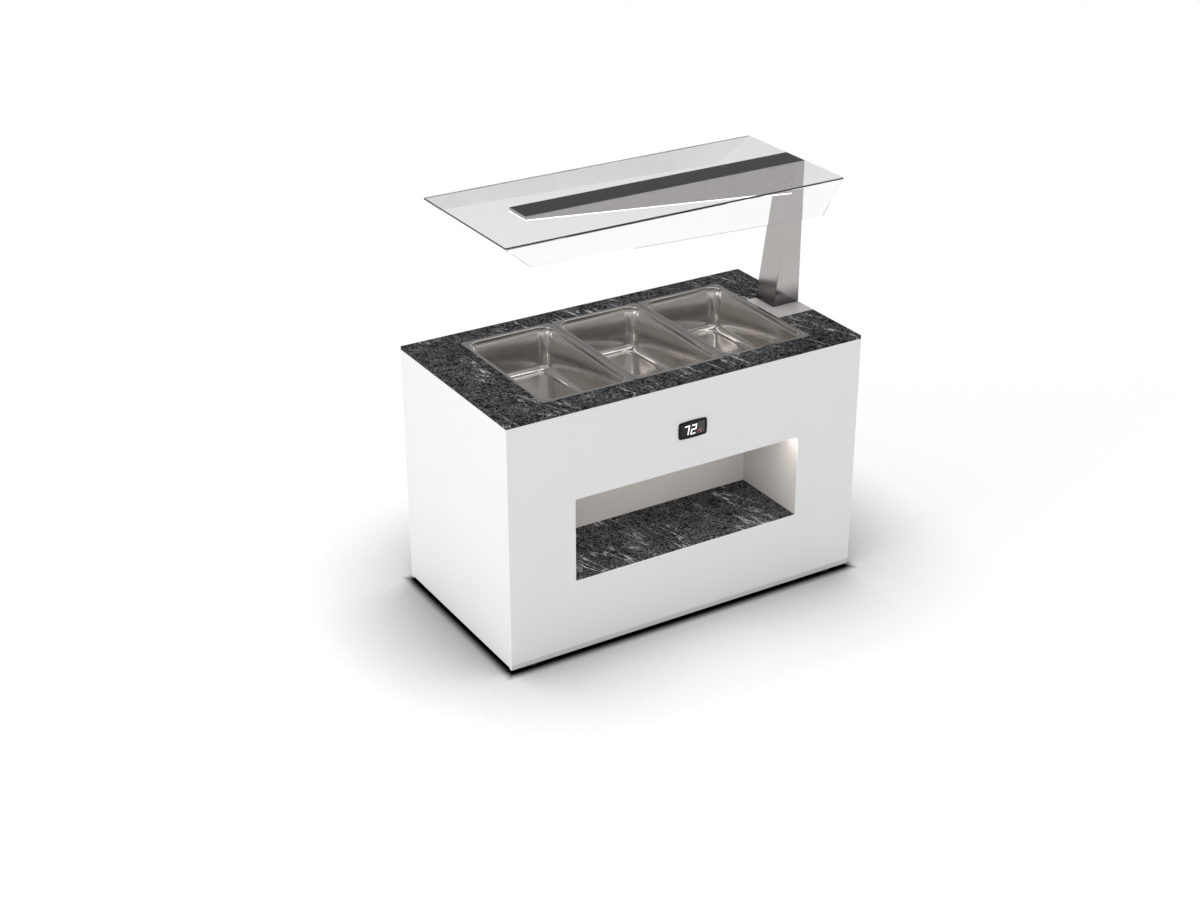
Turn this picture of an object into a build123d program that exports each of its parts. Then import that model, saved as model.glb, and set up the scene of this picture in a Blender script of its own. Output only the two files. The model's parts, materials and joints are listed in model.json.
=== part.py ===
from build123d import *
from math import atan2, cos, radians, sin, sqrt, tan
import os

# Bain marie counter: three food pans hang in a heated water well under a stone top,
# an open niche is let into the front, and a post carries a glass canopy over the pans.
# Millimetres. X runs along the counter with the post at +X, Y runs from the guests'
# front to the service side at the rear, Z is up. The origin is the middle of the
# counter's footprint, on the floor.

# Food pans and the row that they make
PAN_NAMES = ("left_pan", "middle_pan", "right_pan")
PAN_WIDTH = 325.0
PAN_LENGTH = 530.0
PAN_DEPTH = 150.0
PAN_GAP = 6.0
PAN_SHEET = 1.2
PAN_RIM = 11.5           # flange width outside the pan's wall
PAN_RIM_CORNER = 7.0
PAN_CORNER = 44.0        # wall corner radius under the flange
PAN_LIP = 0.8            # rounding from flange to wall
PAN_SHOULDER = 15.0      # upright wall above the step
PAN_STEP = 3.0
PAN_TAPER = 4.0          # degrees
PAN_FOOT = 22.0          # rounding between wall and bottom
PAN_SEAT = 10.0          # flange on the worktop

# Counter casing
COUNTER_HEIGHT = 850.0
STONE = 12.0             # worktop slab
STONE_LEFT = 170.5       # worktop left of the pans
SHEET = 1.5              # casing sheet
PANEL_FOLD = 15.0        # depth of the casing panels' folded edges
PANEL_LIFT = 12.0        # floor to the front and rear panels
SIDE_LIFT = 17.0         # floor to the side panels
KICK_HEIGHT = 19.0       # strip along the front and rear panels' low edge
KICK_LEAN = 2.0          # how far that strip leans in

# Frame and feet
TUBE = 25.0
TUBE_WALL = 2.0
FRAME_LIFT = 28.0        # floor to the lower rails
FOOT_RADIUS = 20.0
FOOT_PAD = 9.0
FOOT_BEVEL = 2.0
FOOT_NECK_RADIUS = 11.0
FOOT_STEM_RADIUS = 5.0
STEM_ROOM = 4.0          # stem's end to the rail's top wall
FOOT_INSET = 70.0        # frame's end to the foot's axis
RUNNING = 0.05           # radial clearance of pins, stems and shafts
CLEAR = 0.3              # room between curved faces that pass each other

# Water well
WATER_ROOM = 51.2        # pans' bottoms to the tank floor
TANK_SETBACK = 3.0       # tank wall behind the worktop's cut edge
TANK_FLANGE = 15.0
INSULATION = 18.0
INSULATION_DROP = 24.0   # worktop's underside to the insulation's top edge
BAR_WIDTH = 20.0
BAR_HEIGHT = 16.0
BAR_PLAY = 1.0           # bar's end to the worktop's cut edge
LUG_WIDTH = 16.0
LUG_DEPTH = 14.0
LUG_HEIGHT = 10.0
HEATER_RADIUS = 4.0
HEATER_LIFT = 10.0       # ribs in the tank floor under the heater
HEATER_BEND = 40.0
HEATER_MARGIN = 60.0     # tank's right wall to the heater
HEATER_SPACING = 90.0    # between the heater's two ends
HEATER_TAIL = 24.0       # heater's ends outside the tank
HEATER_EDGE = 70.0       # tank's front wall to the heater's front run
HEATER_SPREAD = 238.0    # between the heater's front and rear runs
RIB_WIDTH = 12.0
GLAND_NUT = 22.0         # across flats
GLAND_NUT_HEIGHT = 8.0
NUT_ROOM = 2.7           # nut's corners to the hole in the insulation
PROBE_SPACING = 230.0    # heater's inner end to the probe
PROBE_LIFT = 32.0        # tank floor to the probe
PROBE_RADIUS = 3.0
PROBE_REACH = 60.0

# Drain
DRAIN_FROM_LEFT = 52.5   # tank's left wall to the drain's axis
DRAIN_FROM_REAR = 58.0   # tank's rear wall to the drain's axis
DRAIN_BORE = 10.0
DRAIN_WALL = 3.0
DRAIN_FLANGE_RADIUS = 25.0
DRAIN_FLANGE = 2.5
DRAIN_DROP = 62.0        # tank floor to the valve
VALVE_LENGTH = 80.0
VALVE_HEX = 16.0         # length of the hexagons at both ends
VALVE_RADIUS = 18.0
VALVE_BOSS_RADIUS = 10.0
VALVE_BOSS = 34.0        # valve axis to the boss's end
VALVE_STEM_RADIUS = 5.0
VALVE_WALL = 2.7         # valve body round the ball
STEM_SOCKET = 3.0        # stem's end in the ball
LEVER_LENGTH = 90.0
LEVER_WIDTH = 18.0
LEVER = 3.0

# Niche in the front
NICHE_MARGIN = 233.0     # counter's ends to the niche
NICHE_HEIGHT = 283.0
NICHE_ROOM = 84.5        # insulation down to the niche's ceiling
NICHE_DEPTH = 296.0
SHELF_STONE = 12.0
LIGHT_WIDTH = 16.0
LIGHT_HEIGHT = 10.0
LIGHT_WALL = 1.5
LIGHT_WING = 6.0
LIGHT_SET = 16.0         # counter's front face to the light
LIGHT_END = 15.0         # niche wall to the light's end
DIFFUSER = 2.0

# Thermostat
DISPLAY_X = 4.0          # counter's middle to the display's
DISPLAY_DROP = 169.5     # worktop down to the display's middle
DISPLAY_WIDTH = 105.0
DISPLAY_HEIGHT = 59.0
DISPLAY_BOW = 2.0
DISPLAY_CORNER = 7.0
DISPLAY_PROUD = 4.0
DISPLAY_RIM = 9.0
DISPLAY_EDGE = 1.2
WINDOW = 2.0
WINDOW_SET = 0.3         # window below the bezel's face
CONTROLLER_DEPTH = 56.0
CONTROLLER_ROOM = 12.5   # controller to the tank's insulation
CONTROLLER_LIP = 2.5     # controller wider than the window
CLIP_WIDTH = 6.0
CLIP = 3.0
FITTED = 0.15            # room round a piece that drops into its seat

# Rear doors
DOOR_MARGIN = 90.0       # counter's end to the door opening
DOOR_MULLION = 30.0
DOOR_BOTTOM = 95.0
DOOR_DROP = 250.0        # worktop down to the door openings
DOOR_GAP = 2.0
FINGER_GAP = 16.0
HINGE_INSET = 60.0
HINGE_HEIGHT = 70.0
HINGE_LEAF = 26.0
HINGE_SHEET = 1.5
BARREL_RADIUS = 4.5
HINGE_PIN_RADIUS = 2.5
HINGE_HEAD_RADIUS = 3.6
HINGE_HEAD = 1.5
MAGNET_LENGTH = 60.0
MAGNET_WIDTH = 28.0
MAGNET_DEPTH = 12.0
VENT_COUNT = 9
VENT_FROM_END = 210.0    # counter's left end to the slots' middle
VENT_DROP = 130.0        # worktop down to the slots' middle
VENT_WIDTH = 6.0
VENT_HEIGHT = 60.0
VENT_PITCH = 14.0

# Switches
SWITCH_FROM_END = 180.0  # counter's right end to the switches' middle
SWITCH_DROP = 130.0      # worktop down to the switches' middle
SWITCH_SPACING = 40.0
SWITCH_PLATE_WIDTH = 110.0
SWITCH_PLATE_HEIGHT = 64.0
SWITCH_PLATE = 2.0
SWITCH_WIDTH = 24.0
SWITCH_HEIGHT = 32.0
SWITCH_DEPTH = 26.0
SWITCH_RIM = 2.0
SWITCH_RIM_PROUD = 1.5
SWITCH_WALL = 2.0
SWITCH_CLEAR = 0.2
ROCKER_TILT = 10.0
ROCKER_PROUD = 3.0
ROCKER_DISH = 1.8
ROCKER_DROP = 6.0
ROCKER_DRAW_IN = 1.5
ROCKER_PLAY = 0.7
ROCKER_CAVITY = 10.0
TRUNNION_RADIUS = 1.5

# Controls on the floor panel
BOX_FROM_END = 320.0     # counter's right end to the box's middle
BOX_FROM_REAR = 176.0    # counter's rear face to the box's middle
BOX_WIDTH = 260.0
BOX_DEPTH = 110.0
BOX_HEIGHT = 200.0
DRIVER_GAP = 30.0
DRIVER_WIDTH = 56.0
DRIVER_DEPTH = 120.0
DRIVER_HEIGHT = 40.0
DRIVER_EAR = 10.0
GLAND_FROM_END = 90.0    # counter's right end to the gland
GLAND_FROM_REAR = 84.0   # counter's rear face to the gland
GLAND_RADIUS = 10.0
GLAND_BORE = 5.5
GLAND_HEX = 26.0
GLAND_HEAD = 14.0
GLAND_LOCK = 5.0
LEAD_RADIUS = 3.5
LEAD_BEND = 20.0
LEAD_SET = 24.0          # heater's ends to the drop of their leads
LEAD_ENTRY = 50.0        # control box's ends to the leads that enter it
LEAD_KNEE = 110.0        # control box up to where its leads turn in
LEAD_RISE = 70.0         # control box up to where its leads turn down
LEAD_INSET = 10.5        # controller's rear to its lead
LEAD_BACK = 40.0         # niche's back wall to the thermostat's lead
CANOPY_LEAD_BEND = 60.0
CANOPY_LEAD_KNEE = 240.0 # driver up to where its lead turns in
CANOPY_LEAD_RISE = 120.0 # driver up to where its lead turns down

# Canopy
CANOPY_RISE = 492.0      # worktop to the top of the glass
CANOPY_Y = 44.0          # counter's middle back to the canopy's
GLASS = 6.0
BOND = 1.0
CANOPY_SHEET = 2.0
POST_DEPTH = 100.0
POST_ROOM = 39.5         # right pan to the post
POST_FOOT = 103.0        # post width at the worktop
POST_HEAD = 33.0         # post width under the glass
POST_FLOOR = 10.0        # plate inside the post's foot
ARM_END = 266.0          # counter's left end to the arm's tip
ARM_TIP = 10.0
ARM_ROOT = 98.0
ARM_DIFFUSER = 3.0
ARM_DIFFUSER_LEG = 5.0
LED_BOARD_WIDTH = 20.0
LED_BOARD = 2.0
LED_BOARD_END = 14.0
BASE_PLATE = 3.0
BASE_PLATE_DEPTH = 182.0
BASE_PLATE_GAP = 1.5     # right pan's flange to the plate
BACKING_PLATE = 8.0
BACKING_MARGIN = 16.0
BOLT_RADIUS = 5.0
BOLT_HOLE_RADIUS = 5.5
BOLT_HEAD = 17.0         # across flats
BOLT_HEAD_HEIGHT = 6.5
BOLT_SPACING_X = 30.0
BOLT_SPACING_Y = 60.0
BOLT_BITE = 8.0          # thread in the post's foot
CABLE_HOLE_RADIUS = 8.0
GLASS_END = 82.0         # counter's left end to the glass
GLASS_DEPTH = 520.0
GLASS_SET = 2.0          # post's outer face to the glass's end
GLASS_CORNER = 4.0
PANE_TILT = 25.0         # degrees from upright
PANE_LEFT = 61.0         # slant height at the tip end
PANE_RIGHT = 98.0        # slant height at the post end
PANE_END_SLANT = 1.05    # run of the end cut per unit of slant height

# Places worked out from the sizes
pan_pitch = PAN_WIDTH + PAN_GAP
row_length = len(PAN_NAMES) * pan_pitch - PAN_GAP
half_length = (STONE_LEFT + row_length + POST_ROOM + POST_FOOT) / 2
row_left = STONE_LEFT - half_length
row_right = row_left + row_length
pan_centres = [row_left + PAN_WIDTH / 2 + step * pan_pitch for step in range(len(PAN_NAMES))]
bar_centres = [centre + pan_pitch / 2 for centre in pan_centres[:-1]]

cut_left = row_left + PAN_SEAT
cut_right = row_right - PAN_SEAT
cut_y = PAN_LENGTH / 2 - PAN_SEAT
tank_left = cut_left - TANK_SETBACK
tank_right = cut_right + TANK_SETBACK
tank_y = cut_y + TANK_SETBACK
insulation_y = tank_y + SHEET + INSULATION
half_depth = insulation_y + CONTROLLER_ROOM + CONTROLLER_DEPTH

stone_low = COUNTER_HEIGHT - STONE
frame_x = half_length - PANEL_FOLD
frame_y = half_depth - PANEL_FOLD
bay_x = frame_x - TUBE
bay_y = frame_y - TUBE
floor_low = FRAME_LIFT + TUBE
floor_top = floor_low + SHEET

tank_floor = COUNTER_HEIGHT + PAN_SHEET - PAN_DEPTH - WATER_ROOM
tank_low = tank_floor - SHEET
insulation_low = tank_low - INSULATION
heater_z = tank_floor + HEATER_LIFT + HEATER_RADIUS
heater_right = tank_right - HEATER_MARGIN
heater_ends = [heater_right, heater_right - HEATER_SPACING]
heater_end_y = tank_y + SHEET + HEATER_TAIL
heater_rows = [HEATER_EDGE - tank_y, HEATER_EDGE - tank_y + HEATER_SPREAD]
probe_x = heater_ends[-1] - PROBE_SPACING
probe_z = tank_floor + PROBE_LIFT
drain_x = tank_left + DRAIN_FROM_LEFT
drain_y = tank_y - DRAIN_FROM_REAR
valve_top = tank_floor - DRAIN_DROP
valve_mid = valve_top - VALVE_LENGTH / 2
lever_y = drain_y + VALVE_BOSS
ball_radius = VALVE_RADIUS - VALVE_WALL - CLEAR
stem_foot = drain_y + ball_radius - STEM_SOCKET

niche_x = half_length - NICHE_MARGIN
niche_top = insulation_low - NICHE_ROOM
niche_bottom = niche_top - NICHE_HEIGHT
niche_front = -half_depth + SHEET
niche_back = -half_depth + NICHE_DEPTH
shelf_low = niche_bottom - SHELF_STONE
light_front = -half_depth + LIGHT_SET
light_back = light_front + LIGHT_WIDTH
light_x = niche_x - LIGHT_END

display_z = COUNTER_HEIGHT - DISPLAY_DROP

door_top = COUNTER_HEIGHT - DOOR_DROP
door_outer = half_length - DOOR_MARGIN
door_inner = DOOR_MULLION / 2
hinge_x = door_outer - DOOR_GAP / 2
hinge_y = half_depth + CLEAR + BARREL_RADIUS
door_low = DOOR_BOTTOM + DOOR_GAP
door_high = door_top - FINGER_GAP
hinge_lows = [door_low + HINGE_INSET, door_high - HINGE_INSET - HINGE_HEIGHT]
knuckle = HINGE_HEIGHT / 3

vent_x = VENT_FROM_END - half_length
vent_z = COUNTER_HEIGHT - VENT_DROP
switch_mid = half_length - SWITCH_FROM_END
switch_z = COUNTER_HEIGHT - SWITCH_DROP
switch_centres = {
    "main_switch": switch_mid - SWITCH_SPACING / 2,
    "light_switch": switch_mid + SWITCH_SPACING / 2,
}
rim_face = half_depth + SWITCH_PLATE + SWITCH_RIM_PROUD
rocker_y = half_depth + SWITCH_PLATE
rocker_sweep = ROCKER_PROUD * sin(radians(ROCKER_TILT))
rocker_half = SWITCH_HEIGHT / 2 - SWITCH_WALL - ROCKER_PLAY - rocker_sweep

box_x = half_length - BOX_FROM_END
box_y = half_depth - BOX_FROM_REAR
box_left = box_x - BOX_WIDTH / 2
box_right = box_x + BOX_WIDTH / 2
box_front = box_y - BOX_DEPTH / 2
box_rear = box_y + BOX_DEPTH / 2
box_top = floor_top + BOX_HEIGHT
driver_left = box_right + DRIVER_GAP
gland_x = half_length - GLAND_FROM_END
gland_y = half_depth - GLAND_FROM_REAR

glass_low = COUNTER_HEIGHT + CANOPY_RISE - GLASS
arm_top = glass_low - BOND
arm_front = CANOPY_Y - POST_DEPTH / 2
arm_back = CANOPY_Y + POST_DEPTH / 2
post_left = half_length - POST_FOOT
post_height = arm_top - COUNTER_HEIGHT
post_lean = atan2(POST_FOOT - POST_HEAD, post_height)
arm_tip_x = ARM_END - half_length
glass_right = half_length - GLASS_SET
glass_left = GLASS_END - half_length
bolt_x = (post_left + bay_x) / 2
bolt_points = [
    (bolt_x + side * BOLT_SPACING_X / 2, CANOPY_Y + end * BOLT_SPACING_Y / 2)
    for side in (-1, 1)
    for end in (-1, 1)
]


def block(x0, x1, y0, y1, z0, z1):
    """A plain block between two corners."""
    return Pos(x0, y0, z0) * Box(x1 - x0, y1 - y0, z1 - z0, align=(Align.MIN,) * 3)


def rod(radius, start, end):
    """A round bar between two points."""
    run = Vector(end) - Vector(start)
    seat = Plane(origin=start, z_dir=run)
    return seat * Cylinder(radius, run.length, align=(Align.CENTER, Align.CENTER, Align.MIN))


def hex_rod(across_flats, start, end):
    """A hexagonal bar between two points."""
    run = Vector(end) - Vector(start)
    outline = RegularPolygon(across_flats / 2, 6, major_radius=False)
    return extrude(Plane(origin=start, z_dir=run) * outline, run.length)


def prism_x(points, x0, x1):
    """An outline of (y, z) points carried along X."""
    outline = make_face(Polyline(*[(x0, y, z) for y, z in points], close=True))
    return extrude(outline, x1 - x0, dir=(1, 0, 0))


def prism_y(points, y0, y1):
    """An outline of (x, z) points carried along Y."""
    outline = make_face(Polyline(*[(x, y0, z) for x, z in points], close=True))
    return extrude(outline, y1 - y0, dir=(0, 1, 0))


def upright(x, y, z, width, depth, height, radius):
    """A block with rounded upright edges, centred on x and y and standing on z."""
    return extrude(Pos(x, y, z) * RectangleRounded(width, depth, radius), height)


def save(name, *pieces):
    """Write one node, as one solid or as a group of separate solids."""
    solids = [solid for piece in pieces for solid in piece.solids()]
    export_step(solids[0] if len(solids) == 1 else Compound(solids), f"parts/{name}.step")
    print(f"{name}: {len(solids)}")


# Frame, floor and feet

foot_points = {
    f"{row}_{side}_foot": (sx * (frame_x - FOOT_INSET), sy * (frame_y - TUBE / 2))
    for row, sy in (("front", -1), ("rear", 1))
    for side, sx in (("left", -1), ("right", 1))
}


def tube(x0, x1, y0, y1, z0, z1):
    """A square tube whose bore runs along its longest side."""
    runs = (x1 - x0, y1 - y0, z1 - z0)
    walls = [0 if run == max(runs) else TUBE_WALL for run in runs]
    bore = block(x0 + walls[0], x1 - walls[0], y0 + walls[1], y1 - walls[1], z0 + walls[2], z1 - walls[2])
    return block(x0, x1, y0, y1, z0, z1) - bore


def rail_ring(low):
    """Long rails at the front and rear with cross rails between them."""
    high = low + TUBE
    long_rails = [tube(-frame_x, frame_x, y, y + TUBE, low, high) for y in (-frame_y, bay_y)]
    cross_rails = [tube(x, x + TUBE, -bay_y, bay_y, low, high) for x in (-frame_x, bay_x)]
    return long_rails, cross_rails


def frame_rails():
    """Lower and upper rings, the rails that carry the niche, and the post between the doors."""
    lower_long, lower_cross = rail_ring(FRAME_LIFT)
    for x, y in foot_points.values():
        hole = rod(FOOT_STEM_RADIUS + RUNNING, (x, y, FRAME_LIFT), (x, y, FRAME_LIFT + TUBE_WALL))
        lower_long = [rail - hole for rail in lower_long]
    upper_long, upper_cross = rail_ring(stone_low - TUBE)
    niche_low = shelf_low - TUBE
    niche_rails = [
        tube(-bay_x, bay_x, -frame_y, -bay_y, niche_low, shelf_low),
        tube(-bay_x, bay_x, niche_back - TUBE / 2, niche_back + TUBE / 2, niche_low, shelf_low),
    ]
    niche_rails += [tube(x, x + TUBE, -bay_y, bay_y, niche_low, shelf_low) for x in (-frame_x, bay_x)]
    mullion = tube(-TUBE / 2, TUBE / 2, bay_y, frame_y, floor_low, stone_low - TUBE)
    return lower_long + lower_cross + upper_long + upper_cross + niche_rails + [mullion]


def corner_posts():
    """Four tubes between the lower and upper rings."""
    return [
        tube(x, x + TUBE, y, y + TUBE, floor_low, stone_low - TUBE)
        for x in (-frame_x, bay_x)
        for y in (-frame_y, bay_y)
    ]


def floor_panel():
    """Sheet on the lower rails, cut round the uprights and for the cable gland."""
    panel = block(-frame_x, frame_x, -frame_y, frame_y, floor_low, floor_top)
    for x in (-frame_x, bay_x):
        for y in (-frame_y, bay_y):
            panel -= block(x, x + TUBE, y, y + TUBE, floor_low, floor_top)
    panel -= block(-TUBE / 2, TUBE / 2, bay_y, frame_y, floor_low, floor_top)
    return panel - rod(GLAND_RADIUS + RUNNING, (gland_x, gland_y, floor_low), (gland_x, gland_y, floor_top))


def levelling_foot(x, y):
    """Pad, neck and threaded stem of one foot."""
    pad = rod(FOOT_RADIUS, (x, y, 0), (x, y, FOOT_PAD))
    pad = chamfer(pad.edges().sort_by(Axis.Z)[-1], FOOT_BEVEL)
    neck = rod(FOOT_NECK_RADIUS, (x, y, FOOT_PAD), (x, y, FRAME_LIFT))
    stem = rod(FOOT_STEM_RADIUS, (x, y, FRAME_LIFT), (x, y, floor_low - TUBE_WALL - STEM_ROOM))
    return pad + neck + stem


# Casing panels


def long_panel():
    """Folded panel of the front, open to the rear, with its low strip leaning in."""
    crease = PANEL_LIFT + KICK_HEIGHT
    face = -half_depth
    back = -frame_y
    outer = [
        (face, stone_low),
        (face, crease),
        (face + KICK_LEAN, PANEL_LIFT),
        (back, PANEL_LIFT),
        (back, stone_low),
    ]
    inner = [
        (face + SHEET, stone_low - SHEET),
        (face + SHEET, crease),
        (face + KICK_LEAN + SHEET, PANEL_LIFT + SHEET),
        (back, PANEL_LIFT + SHEET),
        (back, stone_low - SHEET),
    ]
    shell = prism_x(outer, -half_length, half_length)
    return shell - prism_x(inner, -half_length + SHEET, half_length - SHEET)


def front_panel():
    """Front panel with the niche opening and the thermostat's cut-out."""
    panel = long_panel()
    panel -= block(-niche_x, niche_x, -half_depth, niche_front, niche_bottom, niche_top)
    across = controller_width / 2 + FITTED
    up = controller_height / 2 + FITTED
    return panel - block(
        DISPLAY_X - across, DISPLAY_X + across, -half_depth, niche_front, display_z - up, display_z + up
    )


def side_panel(side):
    """Folded end panel between the front and rear panels."""
    faces = sorted((side * half_length, side * frame_x))
    shell = block(*faces, -frame_y, frame_y, SIDE_LIFT, stone_low)
    hollow = sorted((side * (half_length - SHEET), side * frame_x))
    return shell - block(*hollow, -frame_y + SHEET, frame_y - SHEET, SIDE_LIFT + SHEET, stone_low - SHEET)


def rear_panel():
    """Rear panel with two door openings, vent slots and the switch cut-outs."""
    panel = mirror(long_panel(), about=Plane.XZ)
    skin = (half_depth - SHEET, half_depth)
    for side in (-1, 1):
        edges = sorted((side * door_inner, side * door_outer))
        panel -= block(*edges, *skin, DOOR_BOTTOM, door_top)
    for step in range(VENT_COUNT):
        x = vent_x + (step - (VENT_COUNT - 1) / 2) * VENT_PITCH
        slot = Plane.XZ * Pos(x, vent_z) * SlotOverall(VENT_HEIGHT, VENT_WIDTH, rotation=90)
        panel -= Pos(0, half_depth, 0) * extrude(slot, SHEET)
    for x in switch_centres.values():
        across = SWITCH_WIDTH / 2 + SWITCH_CLEAR
        up = SWITCH_HEIGHT / 2 + SWITCH_CLEAR
        panel -= block(x - across, x + across, *skin, switch_z - up, switch_z + up)
    return panel


# Rear doors and their hinges


def door(side):
    """Folded door leaf, open to the inside."""
    hinge_edge = door_outer - DOOR_GAP
    free_edge = door_inner + DOOR_GAP
    edges = sorted((side * hinge_edge, side * free_edge))
    shell = block(*edges, frame_y, half_depth, door_low, door_high)
    hollow = sorted((side * (hinge_edge - SHEET), side * (free_edge + SHEET)))
    return shell - block(*hollow, frame_y, half_depth - SHEET, door_low + SHEET, door_high - SHEET)


def barrel(x, low, high):
    """One bored knuckle of a hinge."""
    return rod(BARREL_RADIUS, (x, hinge_y, low), (x, hinge_y, high))


def leaf(x, reach, low, high):
    """Flat hinge leaf lying on the rear face, from the barrel's side to its far edge."""
    return block(*sorted((x, x + reach)), half_depth, half_depth + HINGE_SHEET, low, high)


def hinge_leaves(side, on_door):
    """One half of the two hinges of a door: the outer knuckles stay, the middle one swings."""
    x = side * hinge_x
    inward = -side if on_door else side
    near = x + inward * DOOR_GAP / 2
    clear_of_barrel = x + inward * (BARREL_RADIUS + CLEAR)
    bore = rod(HINGE_PIN_RADIUS + RUNNING, (x, hinge_y, 0), (x, hinge_y, COUNTER_HEIGHT))
    halves = []
    for low in hinge_lows:
        outer = [(low, low + knuckle), (low + 2 * knuckle, low + 3 * knuckle)]
        middle = [(low + knuckle + CLEAR, low + 2 * knuckle - CLEAR)]
        half = leaf(clear_of_barrel, inward * HINGE_LEAF, low, low + HINGE_HEIGHT)
        for start, end in middle if on_door else outer:
            half += barrel(x, start, end) + leaf(near, inward * HINGE_LEAF, start, end)
        halves.append(half - bore)
    return halves


def hinge_pins():
    """Headed pins through the hinge knuckles."""
    pins = []
    for x in (-hinge_x, hinge_x):
        for low in hinge_lows:
            high = low + HINGE_HEIGHT
            pin = rod(HINGE_PIN_RADIUS, (x, hinge_y, low - HINGE_HEAD), (x, hinge_y, high + HINGE_HEAD))
            pin += rod(HINGE_HEAD_RADIUS, (x, hinge_y, low - HINGE_HEAD), (x, hinge_y, low))
            pin += rod(HINGE_HEAD_RADIUS, (x, hinge_y, high), (x, hinge_y, high + HINGE_HEAD))
            pins.append(pin)
    return pins


def door_magnets():
    """Catch blocks on the post between the doors, behind the doors' free edges."""
    middle = (door_low + door_high) / 2
    lows = (middle - MAGNET_LENGTH / 2, middle + MAGNET_LENGTH / 2)
    near = TUBE / 2
    far = near + MAGNET_WIDTH
    return [
        block(*sorted((side * near, side * far)), frame_y - MAGNET_DEPTH, frame_y, *lows) for side in (-1, 1)
    ]


# Worktop, water well and pans


def worktop():
    """Stone slab with the well cut-out, the base plate's pocket and the post's holes."""
    slab = block(-half_length, half_length, -half_depth, half_depth, stone_low, COUNTER_HEIGHT)
    slab -= block(cut_left, cut_right, -cut_y, cut_y, stone_low, COUNTER_HEIGHT)
    slab -= base_plate_block()
    for x, y in bolt_points:
        slab -= rod(BOLT_HOLE_RADIUS, (x, y, stone_low), (x, y, COUNTER_HEIGHT))
    return slab - cable_bore(stone_low, COUNTER_HEIGHT)


def water_tank():
    """Open tank hung under the stone by its flange, with lugs for the bars and ribs for the heater."""
    flange_low = stone_low - SHEET
    wall = SHEET
    outer = block(tank_left - wall, tank_right + wall, -tank_y - wall, tank_y + wall, tank_low, stone_low)
    rim = TANK_FLANGE + wall
    outer += block(tank_left - rim, tank_right + rim, -tank_y - rim, tank_y + rim, flange_low, stone_low)
    tank = outer - block(tank_left, tank_right, -tank_y, tank_y, tank_floor, stone_low)
    lug_top = COUNTER_HEIGHT - BAR_HEIGHT
    for x in bar_centres:
        for y0, y1 in ((-tank_y, LUG_DEPTH - tank_y), (tank_y - LUG_DEPTH, tank_y)):
            tank += block(x - LUG_WIDTH / 2, x + LUG_WIDTH / 2, y0, y1, lug_top - LUG_HEIGHT, lug_top)
        for y in heater_rows:
            across = RIB_WIDTH / 2
            along = HEATER_RADIUS + across
            rib_top = tank_floor + HEATER_LIFT
            tank += block(x - across, x + across, y - along, y + along, tank_floor, rib_top)
    for x in heater_ends:
        tank -= rod(HEATER_RADIUS + RUNNING, (x, tank_y, heater_z), (x, tank_y + wall, heater_z))
    tank -= rod(PROBE_RADIUS + RUNNING, (probe_x, tank_y, probe_z), (probe_x, tank_y + wall, probe_z))
    hole = DRAIN_BORE + DRAIN_WALL + RUNNING
    return tank - rod(hole, (drain_x, drain_y, tank_low), (drain_x, drain_y, tank_floor))


def tank_insulation():
    """Trough of insulating board round the tank, pierced for the heater, probe and drain."""
    wall = SHEET + INSULATION
    top = stone_low - INSULATION_DROP
    ends = (tank_left - wall, tank_right + wall)
    trough = block(*ends, -insulation_y, insulation_y, insulation_low, top)
    trough -= block(
        tank_left - SHEET, tank_right + SHEET, -tank_y - SHEET, tank_y + SHEET, tank_low, stone_low
    )
    hole = GLAND_NUT / sqrt(3) + NUT_ROOM
    for x, z in [(x, heater_z) for x in heater_ends] + [(probe_x, probe_z)]:
        trough -= rod(hole, (x, tank_y, z), (x, insulation_y, z))
    spigot = DRAIN_BORE + DRAIN_WALL + CLEAR
    return trough - rod(spigot, *drain_axis(insulation_low, tank_low))


def pan_support_bars():
    """Channel bars across the well, under the flanges of neighbouring pans."""
    bars = []
    for x in bar_centres:
        reach = cut_y - BAR_PLAY
        low = COUNTER_HEIGHT - BAR_HEIGHT
        half = BAR_WIDTH / 2
        bar = block(x - half, x + half, -reach, reach, low, COUNTER_HEIGHT)
        inner = half - SHEET
        bars.append(bar - block(x - inner, x + inner, -reach, reach, low, COUNTER_HEIGHT - SHEET))
    return bars


def pan_form(x, inset, top):
    """Pressed hollow of a pan, drawn in by an inset: shoulder, step, tapered walls and rounded foot."""
    width = PAN_WIDTH - 2 * PAN_RIM - 2 * inset
    length = PAN_LENGTH - 2 * PAN_RIM - 2 * inset
    step_z = COUNTER_HEIGHT - PAN_SHOULDER + inset
    shoulder = upright(x, 0, step_z, width, length, top - step_z, PAN_CORNER - inset)
    drop = step_z - (COUNTER_HEIGHT + PAN_SHEET - PAN_DEPTH + inset)
    outline = RectangleRounded(width - 2 * PAN_STEP, length - 2 * PAN_STEP, PAN_CORNER - PAN_STEP - inset)
    below = Plane(origin=(x, 0, step_z), x_dir=(1, 0, 0), z_dir=(0, 0, -1))
    body = extrude(below * outline, drop, taper=PAN_TAPER)
    body = fillet(body.faces().sort_by(Axis.Z)[0].edges(), PAN_FOOT - inset)
    return shoulder + body


def food_pan(x):
    """One pan: a flat flange round a stepped, tapered hollow."""
    rim = COUNTER_HEIGHT + PAN_SHEET
    flange = upright(x, 0, COUNTER_HEIGHT, PAN_WIDTH, PAN_LENGTH, PAN_SHEET, PAN_RIM_CORNER)
    pan = flange + pan_form(x, 0, COUNTER_HEIGHT) - pan_form(x, PAN_SHEET, rim)
    mouth = pan.faces().filter_by(Axis.Z).sort_by(Axis.Z)[-1].inner_wires()[0]
    return fillet(mouth.edges(), min(PAN_LIP, PAN_SHEET - FITTED))


# Heater, probe and drain


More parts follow.
